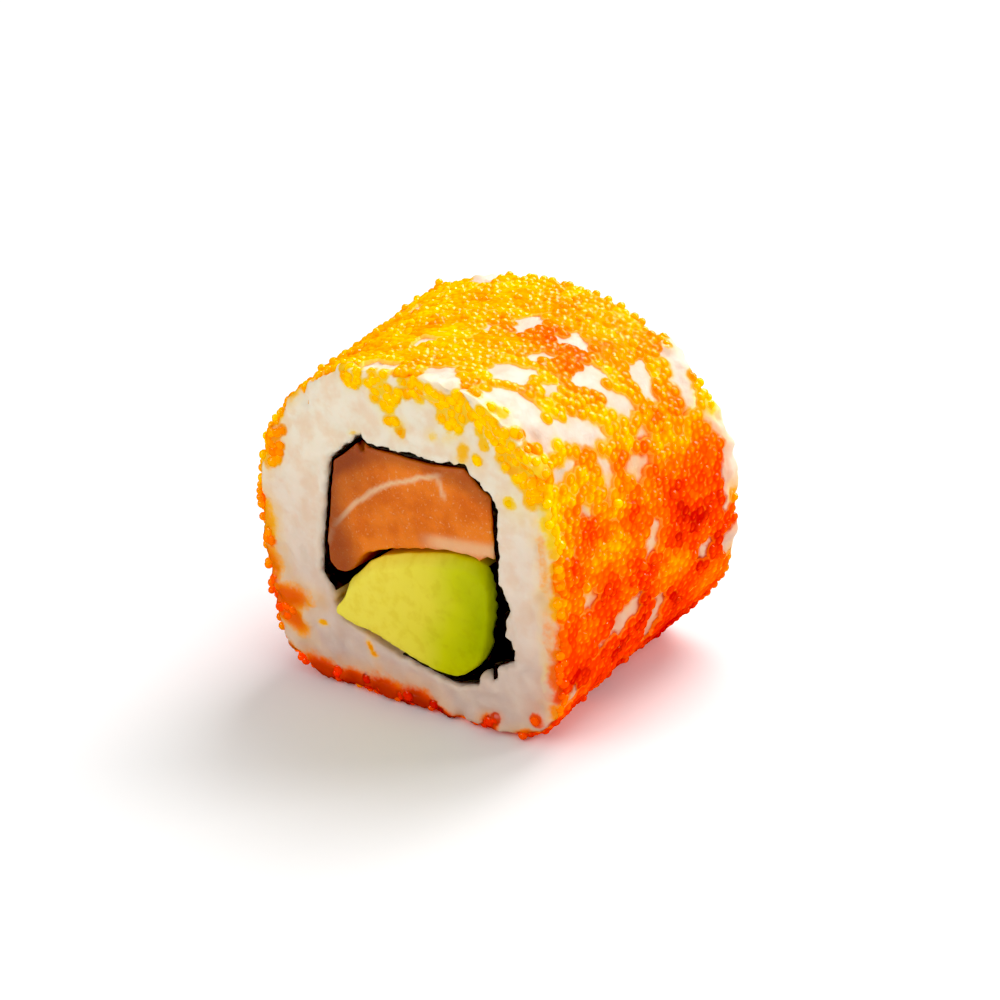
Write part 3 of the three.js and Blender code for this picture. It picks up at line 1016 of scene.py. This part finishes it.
def cut_eggs(rice_tree, clumps, side, rng):
    """Eggs that lie on a cut face: place, outward direction and tone."""
    room = Spacing(LOOSE_APART)
    eggs = []
    for x, z, spread, count, tone in clumps:
        left = count
        for _ in range(12 * count):
            away = rng.normal(0, spread * MM / 1.6, 2)
            start = MIDDLE + Vector((x * MM + away[0], side * REACH, z * MM + away[1]))
            point, normal, _, _ = rice_tree.ray_cast(start, ALONG * -side, REACH)
            if point is None or abs(point.y) < BACK - FACE_DEPTH:
                continue
            place = point + normal * rng.uniform(-0.22, 0.05) * EGG
            place.z = max(place.z, LOOSE_EGG_HEIGHT)
            if room.take(place):
                eggs.append((place, normal, tone + rng.normal(0, 0.06)))
                left -= 1
            if left == 0:
                break
    return eggs


# ---- fillings


def filling_mesh(node):
    """A node of the frame as one skin with soft edges."""
    shape = bmesh.new()
    shape.from_mesh(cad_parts[node].data)
    bmesh.ops.remove_doubles(shape, verts=shape.verts, dist=0.001 * MM)
    mesh = remeshed(mesh_of(shape, node), FILLING_VOXEL, 3)
    mesh.name = node + "_cut"
    return mesh


SALMON_GAP = 0.1 * MM  # left between the strip and its sleeve where they press together
SALMON_REACH = 1.1 * MM  # the widest gap that the strip is pressed across


def make_salmon():
    """The strip, pressed up into the corners of its sleeve."""
    mesh = filling_mesh("salmon")
    points, normals = points_of(mesh), normals_of(mesh)
    for i, vertex in enumerate(mesh.vertices):
        normal = vertex.normal
        sideways = Vector((normal.x, 0, normal.z))
        if sideways.length < 0.3 or points[i, 2] < MIDDLE.z - 1 * MM:
            continue
        place = Vector(points[i])
        place.y = min(max(place.y, FRONT + 0.6 * MM), BACK - 0.6 * MM)
        met, _, _, gap = NODE_TREES["nori"].ray_cast(place, sideways.normalized(), SALMON_REACH)
        if met:
            points[i] += np.array(sideways) * max(0, gap - SALMON_GAP)
    fibres = waves(points * [1, 0.4, 1], 1.4 * MM, 21, 2) * 0.05 * MM
    swell = waves(points, 5 * MM, 22, 1) * 0.06 * MM
    points += normals * [1, 0, 1] * (fibres + swell)[:, None]
    set_points(mesh, points)
    return mesh


# The upper edge of the avocado's cut, from the middle line, and how far it slopes back.
AVOCADO_TOP = [(-8.2, -5.6), (-6.3, -3.3), (-4.3, -1.6), (2.3, 0.8), (7.8, 1.6), (10.1, 0.7)]
AVOCADO_BEVEL = 1.1 * MM


def make_avocado():
    """The wedge, with the upper edge of its cut worn into a bevel."""
    mesh = filling_mesh("avocado")
    points, normals = points_of(mesh), normals_of(mesh)
    top = np.array(AVOCADO_TOP) * MM
    x = points[:, 0] - MIDDLE.x
    below = np.interp(x, top[:, 0], top[:, 1]) - (points[:, 2] - MIDDLE.z)
    for side, edge in ((-1, points[:, 1].min()), (1, points[:, 1].max())):
        near = eased(side * (points[:, 1] - edge), -1.6 * MM, 0)
        slope = np.clip(1 - below / AVOCADO_BEVEL, 0, 1)
        points[:, 1] -= side * near * slope * 0.9 * MM
    points += normals * (waves(points, 4 * MM, 31, 2) * 0.07 * MM)[:, None]
    set_points(mesh, points)
    return mesh


CHANNEL_CENTRE = MIDDLE + Vector((1, 0, -1)) * MM  # at the front cut
CHANNEL_DRIFT = Vector((1.4, 0, -0.4)) * MM  # how the fillings shift from front to back
NORI_ALONG = 26  # points along the roll
NORI_THICKNESS = 0.2 * MM
SHEET_BEARINGS = np.radians(np.arange(-104, 207, 0.9))  # from under the avocado round to its tip
FOLD_BEARINGS = np.radians(np.arange(-64, 14, 1.0))  # of its loose end


def channel_line(along):
    """The middle of the channel at a place along the roll."""
    return CHANNEL_CENTRE + CHANNEL_DRIFT * ((along - FRONT) / (BACK - FRONT)) + ALONG * along


def strip_against(node, bearings, offset, crinkle_height, recess):
    """Rows of a crinkled strip that follows what is met of a node: each point and its outward."""
    rows = []
    inside = (FRONT + 0.06 * MM, BACK - 0.06 * MM)
    for bearing in bearings:
        outward = outward_at(bearing)
        set_in = recess * (1 + 0.8 * noise.noise(outward * 11)) + 0.1 * MM
        row = []
        for along in np.linspace(FRONT + set_in, BACK - set_in, NORI_ALONG):
            middle = channel_line(along)
            start = channel_line(min(max(along, inside[0]), inside[1]))
            wall, _, _, _ = NODE_TREES[node].ray_cast(start, outward, REACH)
            if not wall:
                break
            crinkle = noise.fractal(middle / (1.7 * MM) + outward * 6, 0.7, 2.0, 3)
            radius = (wall - start).length + offset + crinkle * crinkle_height
            row.append((middle + outward * radius, outward))
        if len(row) == NORI_ALONG:
            rows.append(row)
    return rows


def closed_strip(rows):
    """Points and faces of a thin closed sheet built on rows of points."""
    count, width = len(rows), len(rows[0])
    points = []
    for layer in (0.5, -0.5):
        for row in rows:
            points += [place + outward * layer * NORI_THICKNESS for place, outward in row]

    def index(layer, i, j):
        return (layer * count + i) * width + j

    edge = [(i, 0) for i in range(count)] + [(count - 1, j) for j in range(1, width)]
    edge += [(i, width - 1) for i in range(count - 2, -1, -1)]
    edge += [(0, j) for j in range(width - 2, 0, -1)]
    faces = []
    for i in range(count - 1):
        for j in range(width - 1):
            corners = [(i, j), (i + 1, j), (i + 1, j + 1), (i, j + 1)]
            faces.append([index(0, *c) for c in corners])
            faces.append([index(1, *c) for c in reversed(corners)])
    for here, there in zip(edge, edge[1:] + edge[:1]):
        faces.append([index(0, *there), index(0, *here), index(1, *here), index(1, *there)])
    return points, faces


def make_nori():
    """The sheet around the channel, and its loose end that lies against the avocado."""
    sheet = strip_against("nori", SHEET_BEARINGS, 0.16 * MM, 0.1 * MM, 0.15 * MM)
    fold = strip_against("avocado", FOLD_BEARINGS, 0.35 * MM, 0.15 * MM, 0.6 * MM)
    shape = bmesh.new()
    for rows in (sheet, fold):
        points, faces = closed_strip(rows)
        shape.from_mesh(mesh_from("strip", points, faces))
    bmesh.ops.recalc_face_normals(shape, faces=shape.faces)
    return smooth_shaded(mesh_of(shape, "nori_sheet"))


# ---- materials


def colour(red, green, blue):
    """Screen colour from 0 to 255 as the linear colour that the shaders take."""
    channels = [c / 255 for c in (red, green, blue)]
    linear = [c / 12.92 if c <= 0.04045 else ((c + 0.055) / 1.055) ** 2.4 for c in channels]
    return (*linear, 1)


def fill(tree, socket, value):
    """Gives a socket its value, or a link if the value is itself a socket."""
    if isinstance(value, bpy.types.NodeSocket):
        tree.links.new(value, socket)
    else:
        socket.default_value = value


def feed(tree, node, **values):
    """Fills a node's inputs by name, with _ for each space."""
    for name, value in values.items():
        fill(tree, node.inputs[name.replace("_", " ")], value)
    return node


def add(tree, kind, properties=None, **values):
    """A node with its properties set and its inputs filled."""
    made = tree.nodes.new(kind)
    for name, value in (properties or {}).items():
        setattr(made, name, value)
    return feed(tree, made, **values)


def blend(tree, factor, first, second, blend_type="MIX"):
    """Mixes two colours; each of the three may be a socket or a value."""
    kind = {"data_type": "RGBA", "blend_type": blend_type}
    return add(tree, "ShaderNodeMix", kind, Factor=factor, A=first, B=second).outputs["Result"]


def painted(tree, name):
    """What paint() stored under this name."""
    return add(tree, "ShaderNodeAttribute", {"attribute_name": name}).outputs["Fac"]


def shader_group(name, inputs, output, output_kind):
    """An empty node group with named sockets: the group, its inputs and its output."""
    tree = bpy.data.node_groups.new(name, "ShaderNodeTree")
    for label, kind, value in inputs:
        socket = tree.interface.new_socket(label, in_out="INPUT", socket_type=kind)
        socket.default_value = value
    tree.interface.new_socket(output, in_out="OUTPUT", socket_type=output_kind)
    given, out = tree.nodes.new("NodeGroupInput"), tree.nodes.new("NodeGroupOutput")
    return tree, given.outputs, out.inputs[output]


def cloud_noise(tree, scale, detail, roughness=0.5, stretch=None):
    """Noise whose scale reads per millimetre of the piece, stretched along its axes."""
    where = add(tree, "ShaderNodeTexCoord").outputs["Object"]
    scaled = add(tree, "ShaderNodeVectorMath", {"operation": "SCALE"}, Vector=where, Scale=1 / MM)
    place = scaled.outputs[0]
    if stretch:
        stretched = add(tree, "ShaderNodeVectorMath", {"operation": "MULTIPLY"}, Vector=place)
        fill(tree, stretched.inputs[1], stretch)
        place = stretched.outputs[0]
    made = add(
        tree, "ShaderNodeTexNoise", Vector=place, Scale=scale, Detail=detail, Roughness=roughness
    )
    return made.outputs["Fac"]


def smooth_band(tree, value, low, high):
    """0 below low, 1 above high and smooth between."""
    kind = {"interpolation_type": "SMOOTHSTEP"}
    band = add(tree, "ShaderNodeMapRange", kind, Value=value, From_Min=low, From_Max=high)
    return band.outputs["Result"]


def calculated(tree, operation, *values):
    """The result of a Math node; each value may be a socket or a number."""
    made = add(tree, "ShaderNodeMath", {"operation": operation})
    for socket, value in zip(made.inputs, values):
        fill(tree, socket, value)
    return made.outputs[0]


def mottle_group():
    """Soft blotches of a second colour over a first."""
    inputs = [
        ("First", "NodeSocketColor", (1, 1, 1, 1)),
        ("Second", "NodeSocketColor", (0, 0, 0, 1)),
        ("Scale", "NodeSocketFloat", 1.0),
        ("From", "NodeSocketFloat", 0.4),
        ("To", "NodeSocketFloat", 0.6),
    ]
    tree, given, out = shader_group("mottle", inputs, "Color", "NodeSocketColor")
    cloud = cloud_noise(tree, given["Scale"], 3.0, roughness=0.55)
    band = smooth_band(tree, cloud, given["From"], given["To"])
    fill(tree, out, blend(tree, band, given["First"], given["Second"]))
    return tree


def relief_group():
    """Fine relief as a height: a coarse and a fine cloud, stretched along one axis."""
    inputs = [
        ("Coarse Scale", "NodeSocketFloat", 1.0),
        ("Fine Scale", "NodeSocketFloat", 6.0),
        ("Stretch", "NodeSocketVector", (1, 1, 1)),
        ("Fine Share", "NodeSocketFloat", 0.4),
    ]
    tree, given, out = shader_group("fine_relief", inputs, "Height", "NodeSocketFloat")
    coarse = cloud_noise(tree, given["Coarse Scale"], 2.0, stretch=given["Stretch"])
    fine = cloud_noise(tree, given["Fine Scale"], 2.0, stretch=given["Stretch"])
    kind = {"data_type": "FLOAT"}
    mix = add(tree, "ShaderNodeMix", kind, Factor=given["Fine Share"], A=coarse, B=fine)
    fill(tree, out, mix.outputs["Result"])
    return tree


def torn_group():
    """A painted amount with its soft edge torn along a fine cloud."""
    inputs = [("Amount", "NodeSocketFloat", 0.0), ("Tear", "NodeSocketFloat", 0.9)]
    tree, given, out = shader_group("torn_edge", inputs, "Mask", "NodeSocketFloat")
    centred = calculated(tree, "SUBTRACT", cloud_noise(tree, 1.2, 4.0, roughness=0.6), 0.5)
    torn = calculated(tree, "MULTIPLY_ADD", centred, given["Tear"], given["Amount"])
    fill(tree, out, smooth_band(tree, torn, 0.26, 0.8))
    return tree


MOTTLE = mottle_group()
RELIEF = relief_group()
TORN = torn_group()


def placed_group(tree, group, **values):
    return feed(tree, add(tree, "ShaderNodeGroup", {"node_tree": group}), **values)


def mottled(tree, first, second, scale, start, end):
    """Blotches of a second colour over a first, from faint at start to full at end."""
    values = {"First": first, "Second": second, "Scale": scale, "From": start, "To": end}
    return placed_group(tree, MOTTLE, **values).outputs["Color"]


def new_material(name, **surface):
    """A material with its Principled shader; surface sets the shader's own sockets."""
    material = bpy.data.materials.new(name)
    material.use_nodes = True
    tree = material.node_tree
    return material, tree, feed(tree, tree.nodes["Principled BSDF"], **surface)


def bump(tree, shader, strength, distance, **relief):
    """Feeds the shader's Normal from the fine relief."""
    height = placed_group(tree, RELIEF, **relief).outputs["Height"]
    node = add(tree, "ShaderNodeBump", Strength=strength, Distance=distance, Height=height)
    feed(tree, shader, Normal=node.outputs["Normal"])


def ramp_of(tree, value, stops):
    """A colour for each position of a value."""
    ramp = tree.nodes.new("ShaderNodeValToRGB")
    first, last = ramp.color_ramp.elements
    first.position, first.color = stops[0][0], colour(*stops[0][1])
    last.position, last.color = stops[-1][0], colour(*stops[-1][1])
    for position, tint in stops[1:-1]:
        ramp.color_ramp.elements.new(position).color = colour(*tint)
    tree.links.new(value, ramp.inputs["Fac"])
    return ramp.outputs["Color"]


BLACK, WHITE = (0, 0, 0, 1), (1, 1, 1, 1)
# Colours of the tint beside the roe: partly stain and partly painted glow.
STAIN_AND_GLOW_TONES = [(0.0, (255, 220, 70)), (0.4, (255, 170, 50)), (1.0, (236, 90, 20))]
FILM_TONES = [
    (0.0, (255, 206, 30)), (0.2, (255, 178, 0)), (0.45, (250, 122, 0)),
    (0.65, (234, 72, 0)), (1.0, (152, 26, 0)),
]


def rice_material():
    """Pearly rice with painted shade; tinted beside the roe as stain and painted glow; covered,
    with a painted glow, where roe was crushed on it.
    """
    material, tree, shader = new_material(
        "rice_pearl",
        Roughness=0.42,
        Subsurface_Weight=0.5,
        Subsurface_Radius=(1.0, 0.75, 0.6),
        Subsurface_Scale=1.2 * MM,
        Specular_IOR_Level=0.4,
        Coat_Roughness=0.12,
        Emission_Strength=0.12,
    )
    pearl = mottled(tree, colour(255, 238, 215), colour(250, 222, 191), 0.45, 0.38, 0.66)
    # Painted shade, laid by paint_rice low down and on the coat's bare patches.
    shaded = blend(tree, painted(tree, "shade"), pearl, colour(212, 184, 172))
    tone = painted(tree, "roe_tone")
    # The tint beside the roe: partly stain, partly painted glow.
    tinted = blend(tree, painted(tree, "tint"), shaded, ramp_of(tree, tone, STAIN_AND_GLOW_TONES))
    film = placed_group(tree, TORN, Amount=painted(tree, "film")).outputs["Mask"]
    film_colour = ramp_of(tree, tone, FILM_TONES)
    filmed = blend(tree, film, tinted, film_colour)
    # The crushed roe's colour also feeds the emission: a painted glow.
    painted_film_glow = blend(tree, film, BLACK, film_colour)
    feed(tree, shader, Base_Color=filmed, Emission_Color=painted_film_glow, Coat_Weight=film)
    bump(tree, shader, 0.55, 0.14 * MM, Coarse_Scale=1.4, Fine_Scale=6.0, Fine_Share=0.35)
    return material


ROE_TONES = [
    (0.0, (255, 204, 0)), (0.25, (255, 162, 0)), (0.5, (255, 110, 0)),
    (0.75, (246, 64, 0)), (1.0, (196, 28, 0)),
]
THIN_TONES = [(0.0, (255, 232, 130)), (0.4, (255, 190, 90)), (1.0, (245, 120, 40))]


def roe_material():
    """Wet eggs and jelly: eggs are glossier, thin jelly beside bare rice is paler, and all of it
    has a faint painted glow.
    """
    material, tree, shader = new_material(
        "masago_wet",
        Roughness=0.3,
        Subsurface_Weight=0.8,
        Subsurface_Radius=(1.0, 0.5, 0.1),
        Subsurface_Scale=1.1 * MM,
        Specular_IOR_Level=0.0,
        Coat_Roughness=0.05,
        Coat_IOR=1.6,
        Emission_Strength=0.14,
    )
    shader.subsurface_method = "BURLEY"
    tone = painted(tree, "tone")
    thin_gold = ramp_of(tree, tone, THIN_TONES)
    gold = blend(tree, painted(tree, "thin"), ramp_of(tree, tone, ROE_TONES), thin_gold)
    cloud = mottled(tree, WHITE, (1, 0.8, 0.6, 1), 1.6, 0.45, 0.75)
    tinted = blend(tree, 1.0, gold, cloud, "MULTIPLY")
    egg = painted(tree, "egg")
    wet = add(tree, "ShaderNodeMapRange", Value=egg, From_Min=0.3, To_Min=0.06).outputs["Result"]
    # The roe's colour also feeds the emission: a faint painted glow, as of light through the eggs.
    feed(tree, shader, Base_Color=tinted, Emission_Color=tinted, Coat_Weight=wet)
    bump(tree, shader, 0.1, 0.03 * MM, Coarse_Scale=4.0, Fine_Scale=12.0)
    return material


def nori_material():
    material, tree, shader = new_material("nori_damp", Roughness=0.4, Specular_IOR_Level=0.5)
    sheet = mottled(tree, colour(20, 17, 12), colour(66, 44, 30), 1.6, 0.5, 0.7)
    feed(tree, shader, Base_Color=sheet)
    bump(tree, shader, 0.9, 0.2 * MM, Coarse_Scale=2.0, Fine_Scale=8.0)
    return material


def salmon_material():
    material, tree, shader = new_material(
        "salmon_flesh",
        Roughness=0.4,
        Subsurface_Weight=0.35,
        Specular_IOR_Level=0.3,
        Subsurface_Radius=(1.0, 0.35, 0.1),
        Subsurface_Scale=1.0 * MM,
    )
    flesh = mottled(tree, colour(250, 134, 34), colour(230, 110, 22), 0.4, 0.35, 0.7)
    speckle = mottled(tree, BLACK, WHITE, 3.2, 0.56, 0.78)
    fine = blend(tree, speckle, flesh, colour(250, 176, 110))
    line = blend(tree, painted(tree, "fat"), fine, colour(250, 200, 150))
    # The rim: browner flesh, and painted shade where the strip meets its sleeve.
    edge = blend(tree, painted(tree, "rim"), line, colour(150, 70, 40))
    feed(tree, shader, Base_Color=edge)
    bump(tree, shader, 0.9, 0.14 * MM, Coarse_Scale=1.2, Fine_Scale=6.0, Stretch=(1, 0.4, 2.0))
    return material


AVOCADO_TONES = [
    (0.0, (252, 232, 82)), (0.45, (236, 222, 62)), (0.75, (208, 208, 12)), (1.0, (172, 182, 0)),
]


def avocado_material():
    material, tree, shader = new_material(
        "avocado_flesh",
        Roughness=0.45,
        Subsurface_Weight=0.3,
        Specular_IOR_Level=0.2,
        Subsurface_Radius=(0.9, 1.0, 0.15),
        Subsurface_Scale=1.0 * MM,
    )
    ripe = ramp_of(tree, painted(tree, "ripe"), AVOCADO_TONES)
    cloud = mottled(tree, WHITE, (0.93, 0.9, 0.7, 1), 0.8, 0.45, 0.7)
    flesh = blend(tree, 1.0, ripe, cloud, "MULTIPLY")
    feed(tree, shader, Base_Color=flesh)
    bump(tree, shader, 0.2, 0.08 * MM, Coarse_Scale=1.5, Fine_Scale=9.0)
    return material


# ---- putting it together


def dressed(name, mesh, material, node):
    """A finished piece that stands for a node of the frame."""
    piece = new_object(name, mesh, material)
    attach(piece, "root")
    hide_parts(node)


FILM_DEPTH = 2.4 * MM  # how far in from a cut its film colours the rice


def film_on_cut(points, film, side):
    """How thick crushed roe lies near a cut, its tone, and how much it tints what is round it."""
    near = side * (points[:, 1] - CUT[side]) > -FILM_DEPTH
    across, upward = from_middle(points)
    thickness, tones, halo = np.zeros((3, len(points)))
    for x, z, length, width, turn, tone, thick in film:
        long_way, short_way = turned(across - x, upward - z, turn)
        away = np.hypot(long_way / length, short_way / width)
        amount = near * thick * eased(away, 1.75, 0.35)
        halo = np.maximum(halo, near * thick * eased(away, 2.2, 0.9))
        deepened = tone * (0.5 + 0.5 * eased(away, 1.15, 0.45))
        tones = np.where(amount > thickness, deepened, tones)
        thickness = np.maximum(thickness, amount)
    return thickness, tones, halo


def paint_rice(mesh, places, tones, films):
    """Tints the rice beside roe as stain and painted glow, lays crushed roe on the cuts, and
    paints shade low down.
    """
    near_eggs = nearest_tree(places)
    points = points_of(mesh)
    x, height = from_middle(points)
    found = [near_eggs.find(p) for p in points]
    away = np.array([distance for _, _, distance in found])
    roe_tone = np.array([tones[i] for _, i, _ in found])
    bearing = np.degrees(np.arctan2(height, x))
    reach = 1.0 + 0.7 * eased(x, 12, 17) * eased(bearing, 50, 30)
    film = eased(away / MM, reach, 0.45) * 0.9
    halos = np.zeros(len(points))
    for side, spots in films.items():
        thickness, film_tone, halo = film_on_cut(points, spots, side)
        roe_tone = np.where(thickness > film, film_tone, roe_tone)
        halos = np.maximum(halos, halo)
        film = np.maximum(film, thickness)
    # 1 for rice that lies in the coat, clear of both cuts and of the channel
    coat = eased(np.abs(points[:, 1]), BACK - 0.5 * MM, BACK - 1.5 * MM)
    coat *= eased(np.hypot(x, height), 14, 16)
    low = eased(height, 12, -6)
    # The tint beside the roe is partly stain and partly painted glow of light through the roe.
    tint = eased(away, 1.6 * MM, 0.4 * MM) * (0.25 + 0.2 * low + coat * 0.4 * low)
    right = eased(x, 11, 18) * eased(height, 13, 8)
    tint = np.maximum(tint, 0.75 * right * eased(away, 4.5 * MM, 0.3 * MM) ** 1.5)
    right_coat = coat * eased(bearing, 40, 8) * (x > 0)
    tint = np.maximum(tint, 0.5 * right_coat * eased(away, 2.6 * MM, 0.4 * MM))
    tint = np.maximum(tint, 0.42 * halos)
    patchy = 0.75 + 0.45 * waves(points, 1.5 * MM, 5, 2)
    paint(mesh, "film", film)
    paint(mesh, "tint", np.clip(np.maximum(tint, 0.8 * film) * patchy, 0, 1))
    paint(mesh, "roe_tone", np.clip(roe_tone, 0, 1))
    # Painted shade deepens downwards, in slanting streaks, and lies on the coat's bare patches
    slant = points + points[:, 2:] * [0.6, 0, -0.4]
    streaks = 1 + 0.4 * waves(slant, 2.2 * MM, 8, 2)
    lower = 0.25 * eased(height, 13, 2) + 0.55 * eased(height, 4, -15) * streaks
    paint(mesh, "shade", np.clip(lower + 0.45 * coat * eased(height, 0, 6), 0, 1))


def paint_salmon(mesh):
    """Lines of fat across the strip, and its rim: browner flesh and painted shade along the left
    and top edges and the top-left corner.
    """
    points = points_of(mesh)
    x, z = from_middle(points)
    wobble = waves(points * [1, 0.2, 1], 3 * MM, 41, 2)
    arc = np.hypot(x - 10.6, z + 14.2) - 24.7 + 0.35 * wobble
    line = eased(np.abs(arc), 0.42, 0.1) * eased(x, 6.4, 5.0)
    branch = eased(np.abs(x - 5.4 - 0.25 * (9.6 - z)), 0.4, 0.1)
    branch *= eased(z, 7.2, 8.2) * eased(z, 9.9, 9.4)
    pale = eased(np.abs(z - 2.7 - 0.08 * (x - 6)), 1.3, 0.2) * eased(x, 1.5, 5) * 0.75
    paint(mesh, "fat", np.clip(np.maximum.reduce([line, 0.8 * branch, pale]), 0, 1))
    # Painted shade, with browner flesh, near the left and top edges and in the top-left corner.
    left = eased(x + 0.25 * (z - 4), -5.5, -9.5)
    top = eased(z + 0.03 * (x - 2) ** 2, 9.2, 11.2)
    corner = np.exp(-((x + 7) ** 2 + (z - 8.5) ** 2) / 16)
    paint(mesh, "rim", np.clip(0.75 * left + 0.55 * top + 0.5 * corner, 0, 0.9))


def paint_avocado(mesh):
    """Yellow at the stone's side, and greener towards the skin's."""
    points = points_of(mesh)
    x, z = from_middle(points)
    ripe = eased(x - 0.25 * z, -4, 12.5) + 0.08 * waves(points, 4 * MM, 51, 2)
    paint(mesh, "ripe", np.clip(ripe, 0, 1))


def build_coat(rice_tree, patches, roe):
    """The coat's skins and its whole eggs; gives back every egg's place and tone."""
    eggs = coat_eggs(rice_tree, patches)
    places = np.array([place for place, _ in eggs])
    tones = egg_tones(places, 201)
    for name, skin in coat_skins(eggs, tones, rice_tree):
        dressed(name, skin, roe, "masago")
    whole = whole_eggs(eggs, np.random.default_rng(55))
    mesh = egg_mesh("masago_whole", whole, egg_tones(whole, 201), 305)
    dressed("masago_whole", mesh, roe, "masago")
    print(len(eggs), "eggs in the coat, and", len(whole), "whole ones")
    return places, tones


def build_loose_eggs(rice_tree, roe, rng):
    """The loose eggs on both cuts; gives back the place and tone of each."""
    loose = cut_eggs(rice_tree, FRONT_CLUMPS, -1, rng)
    loose += cut_eggs(rice_tree, back_clumps(rng), 1, rng)
    places = np.array([place for place, _, _ in loose])
    outward = np.array([normal for _, normal, _ in loose])
    # Every loose egg is made paler than given: painted light, added because the front cut lies in
    # less light.
    tones = np.clip([tone - 0.08 for _, _, tone in loose], 0, 1)
    mesh = egg_mesh("masago_loose", places, tones, 401, outward)
    dressed("masago_loose", mesh, roe, "masago")
    return places, tones


def build_roll():
    patches = bare_patches() + THIN_SPOTS
    rice = make_rice(patches)
    rice_tree = tree_of(rice)
    roe = roe_material()
    coat_places, coat_tones = build_coat(rice_tree, patches, roe)
    rng = np.random.default_rng(77)
    loose_places, loose_tones = build_loose_eggs(rice_tree, roe, rng)
    places = np.vstack([coat_places, loose_places])
    tones = np.append(coat_tones, loose_tones)
    paint_rice(rice, places, tones, {-1: FRONT_FILM, 1: back_film(rng)})
    dressed("rice_pressed", rice, rice_material(), "rice")
    salmon = make_salmon()
    paint_salmon(salmon)
    dressed("salmon_strip", salmon, salmon_material(), "salmon")
    avocado = make_avocado()
    paint_avocado(avocado)
    dressed("avocado_slice", avocado, avocado_material(), "avocado")
    dressed("nori_sheet", make_nori(), nori_material(), "nori")


# ---- floor, light and camera

AZIMUTH = math.radians(38.0)
ELEVATION = math.radians(26.25)
ROLL_OF_CAMERA = math.radians(-5.1)
CAMERA_DISTANCE = 240 * MM
LENS = 84.0
LENS_SHIFT = (0.0159, 0.001)
LIT_PLACE = Vector((0, 0, 18 * MM))  # what the lights are turned to
FLOOR_DROP = 0.02 * MM  # keeps the floor clear of the roll's underside
LEVEL = Vector((math.cos(AZIMUTH), math.sin(AZIMUTH), 0))  # from left to right in the view


def make_floor():
    half = 1.5
    corners = [(-half, -half, 0), (half, -half, 0), (half, half, 0), (-half, half, 0)]
    mesh = mesh_from("floor", corners, [(0, 1, 2, 3)])
    material, _, _ = new_material("floor_white", Base_Color=(0.93, 0.93, 0.93, 1), Roughness=0.7)
    floor = new_object("floor", mesh, material)
    floor.location.z = -FLOOR_DROP
    floor.visible_glossy = False
    floor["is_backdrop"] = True


def softbox(name, direction, distance, size, strength, shines=True):
    """A rectangular light, wide from left to right; strength is the light on what faces it."""
    away = Vector(direction).normalized()
    wide = (LEVEL - away * LEVEL.dot(away)).normalized()
    tall = away.cross(wide)
    data = bpy.data.lights.new(name, "AREA")
    data.shape = "RECTANGLE"
    data.size, data.size_y = size
    data.energy = strength * math.pi * distance**2
    light = new_object(name, data)
    light.visible_glossy = shines
    light.matrix_world = axes_matrix(wide, tall, away, LIT_PLACE + away * distance)


def make_lights():
    """Back lights that glint on the eggs, and fill light that leaves no haze on them."""
    world = bpy.data.worlds.new("studio")
    world.use_nodes = True
    sky = world.node_tree.nodes["Background"]
    sky.inputs["Color"].default_value = (1, 1, 1, 1)
    sky.inputs["Strength"].default_value = 0.5
    world.cycles_visibility.glossy = False
    bpy.context.scene.world = world
    softbox("back_key", (0.09, 0.58, 0.81), 0.7, (0.46, 0.44), 2.4)
    softbox("front_left", (-0.5, -0.75, 0.6), 0.8, (0.6, 0.5), 0.62)
    softbox("right_fill", (0.85, -0.1, 0.5), 0.8, (0.6, 0.6), 0.2, shines=False)
    softbox("right_glint", (0.69, 0.55, 0.49), 0.8, (0.3, 0.22), 0.7)


def make_camera():
    """Looks down on the front cut from its right, with the horizon slightly tilted."""
    ahead = UP.cross(LEVEL)
    forward = ahead * math.cos(ELEVATION) - UP * math.sin(ELEVATION)
    upright = LEVEL.cross(forward)
    right = LEVEL * math.cos(ROLL_OF_CAMERA) + upright * math.sin(ROLL_OF_CAMERA)
    up = right.cross(forward)
    data = bpy.data.cameras.new("camera")
    data.lens = LENS
    data.sensor_width = 36
    data.shift_x, data.shift_y = LENS_SHIFT
    data.clip_start, data.clip_end = 0.01, 20
    camera = new_object("camera", data)
    camera.matrix_world = axes_matrix(right, up, -forward, MIDDLE - forward * CAMERA_DISTANCE)
    bpy.context.scene.camera = camera


def set_contrast():
    """Shows the pale haze of the studio's reflections as black, and white rice as white."""
    view = bpy.context.scene.view_settings
    view.view_transform = "Standard"
    view.use_curve_mapping = True
    view.curve_mapping.black_level = (0.01, 0.01, 0.01)
    view.curve_mapping.white_level = (0.92, 0.92, 0.92)
    view.curve_mapping.update()


def main():
    build_roll()
    make_floor()
    make_lights()
    make_camera()
    set_contrast()
    boxes = {"cad": CAD_BOX, "visual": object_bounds()}
    {name: [list(corner) for corner in box] for name, box in boxes.items()}


main()
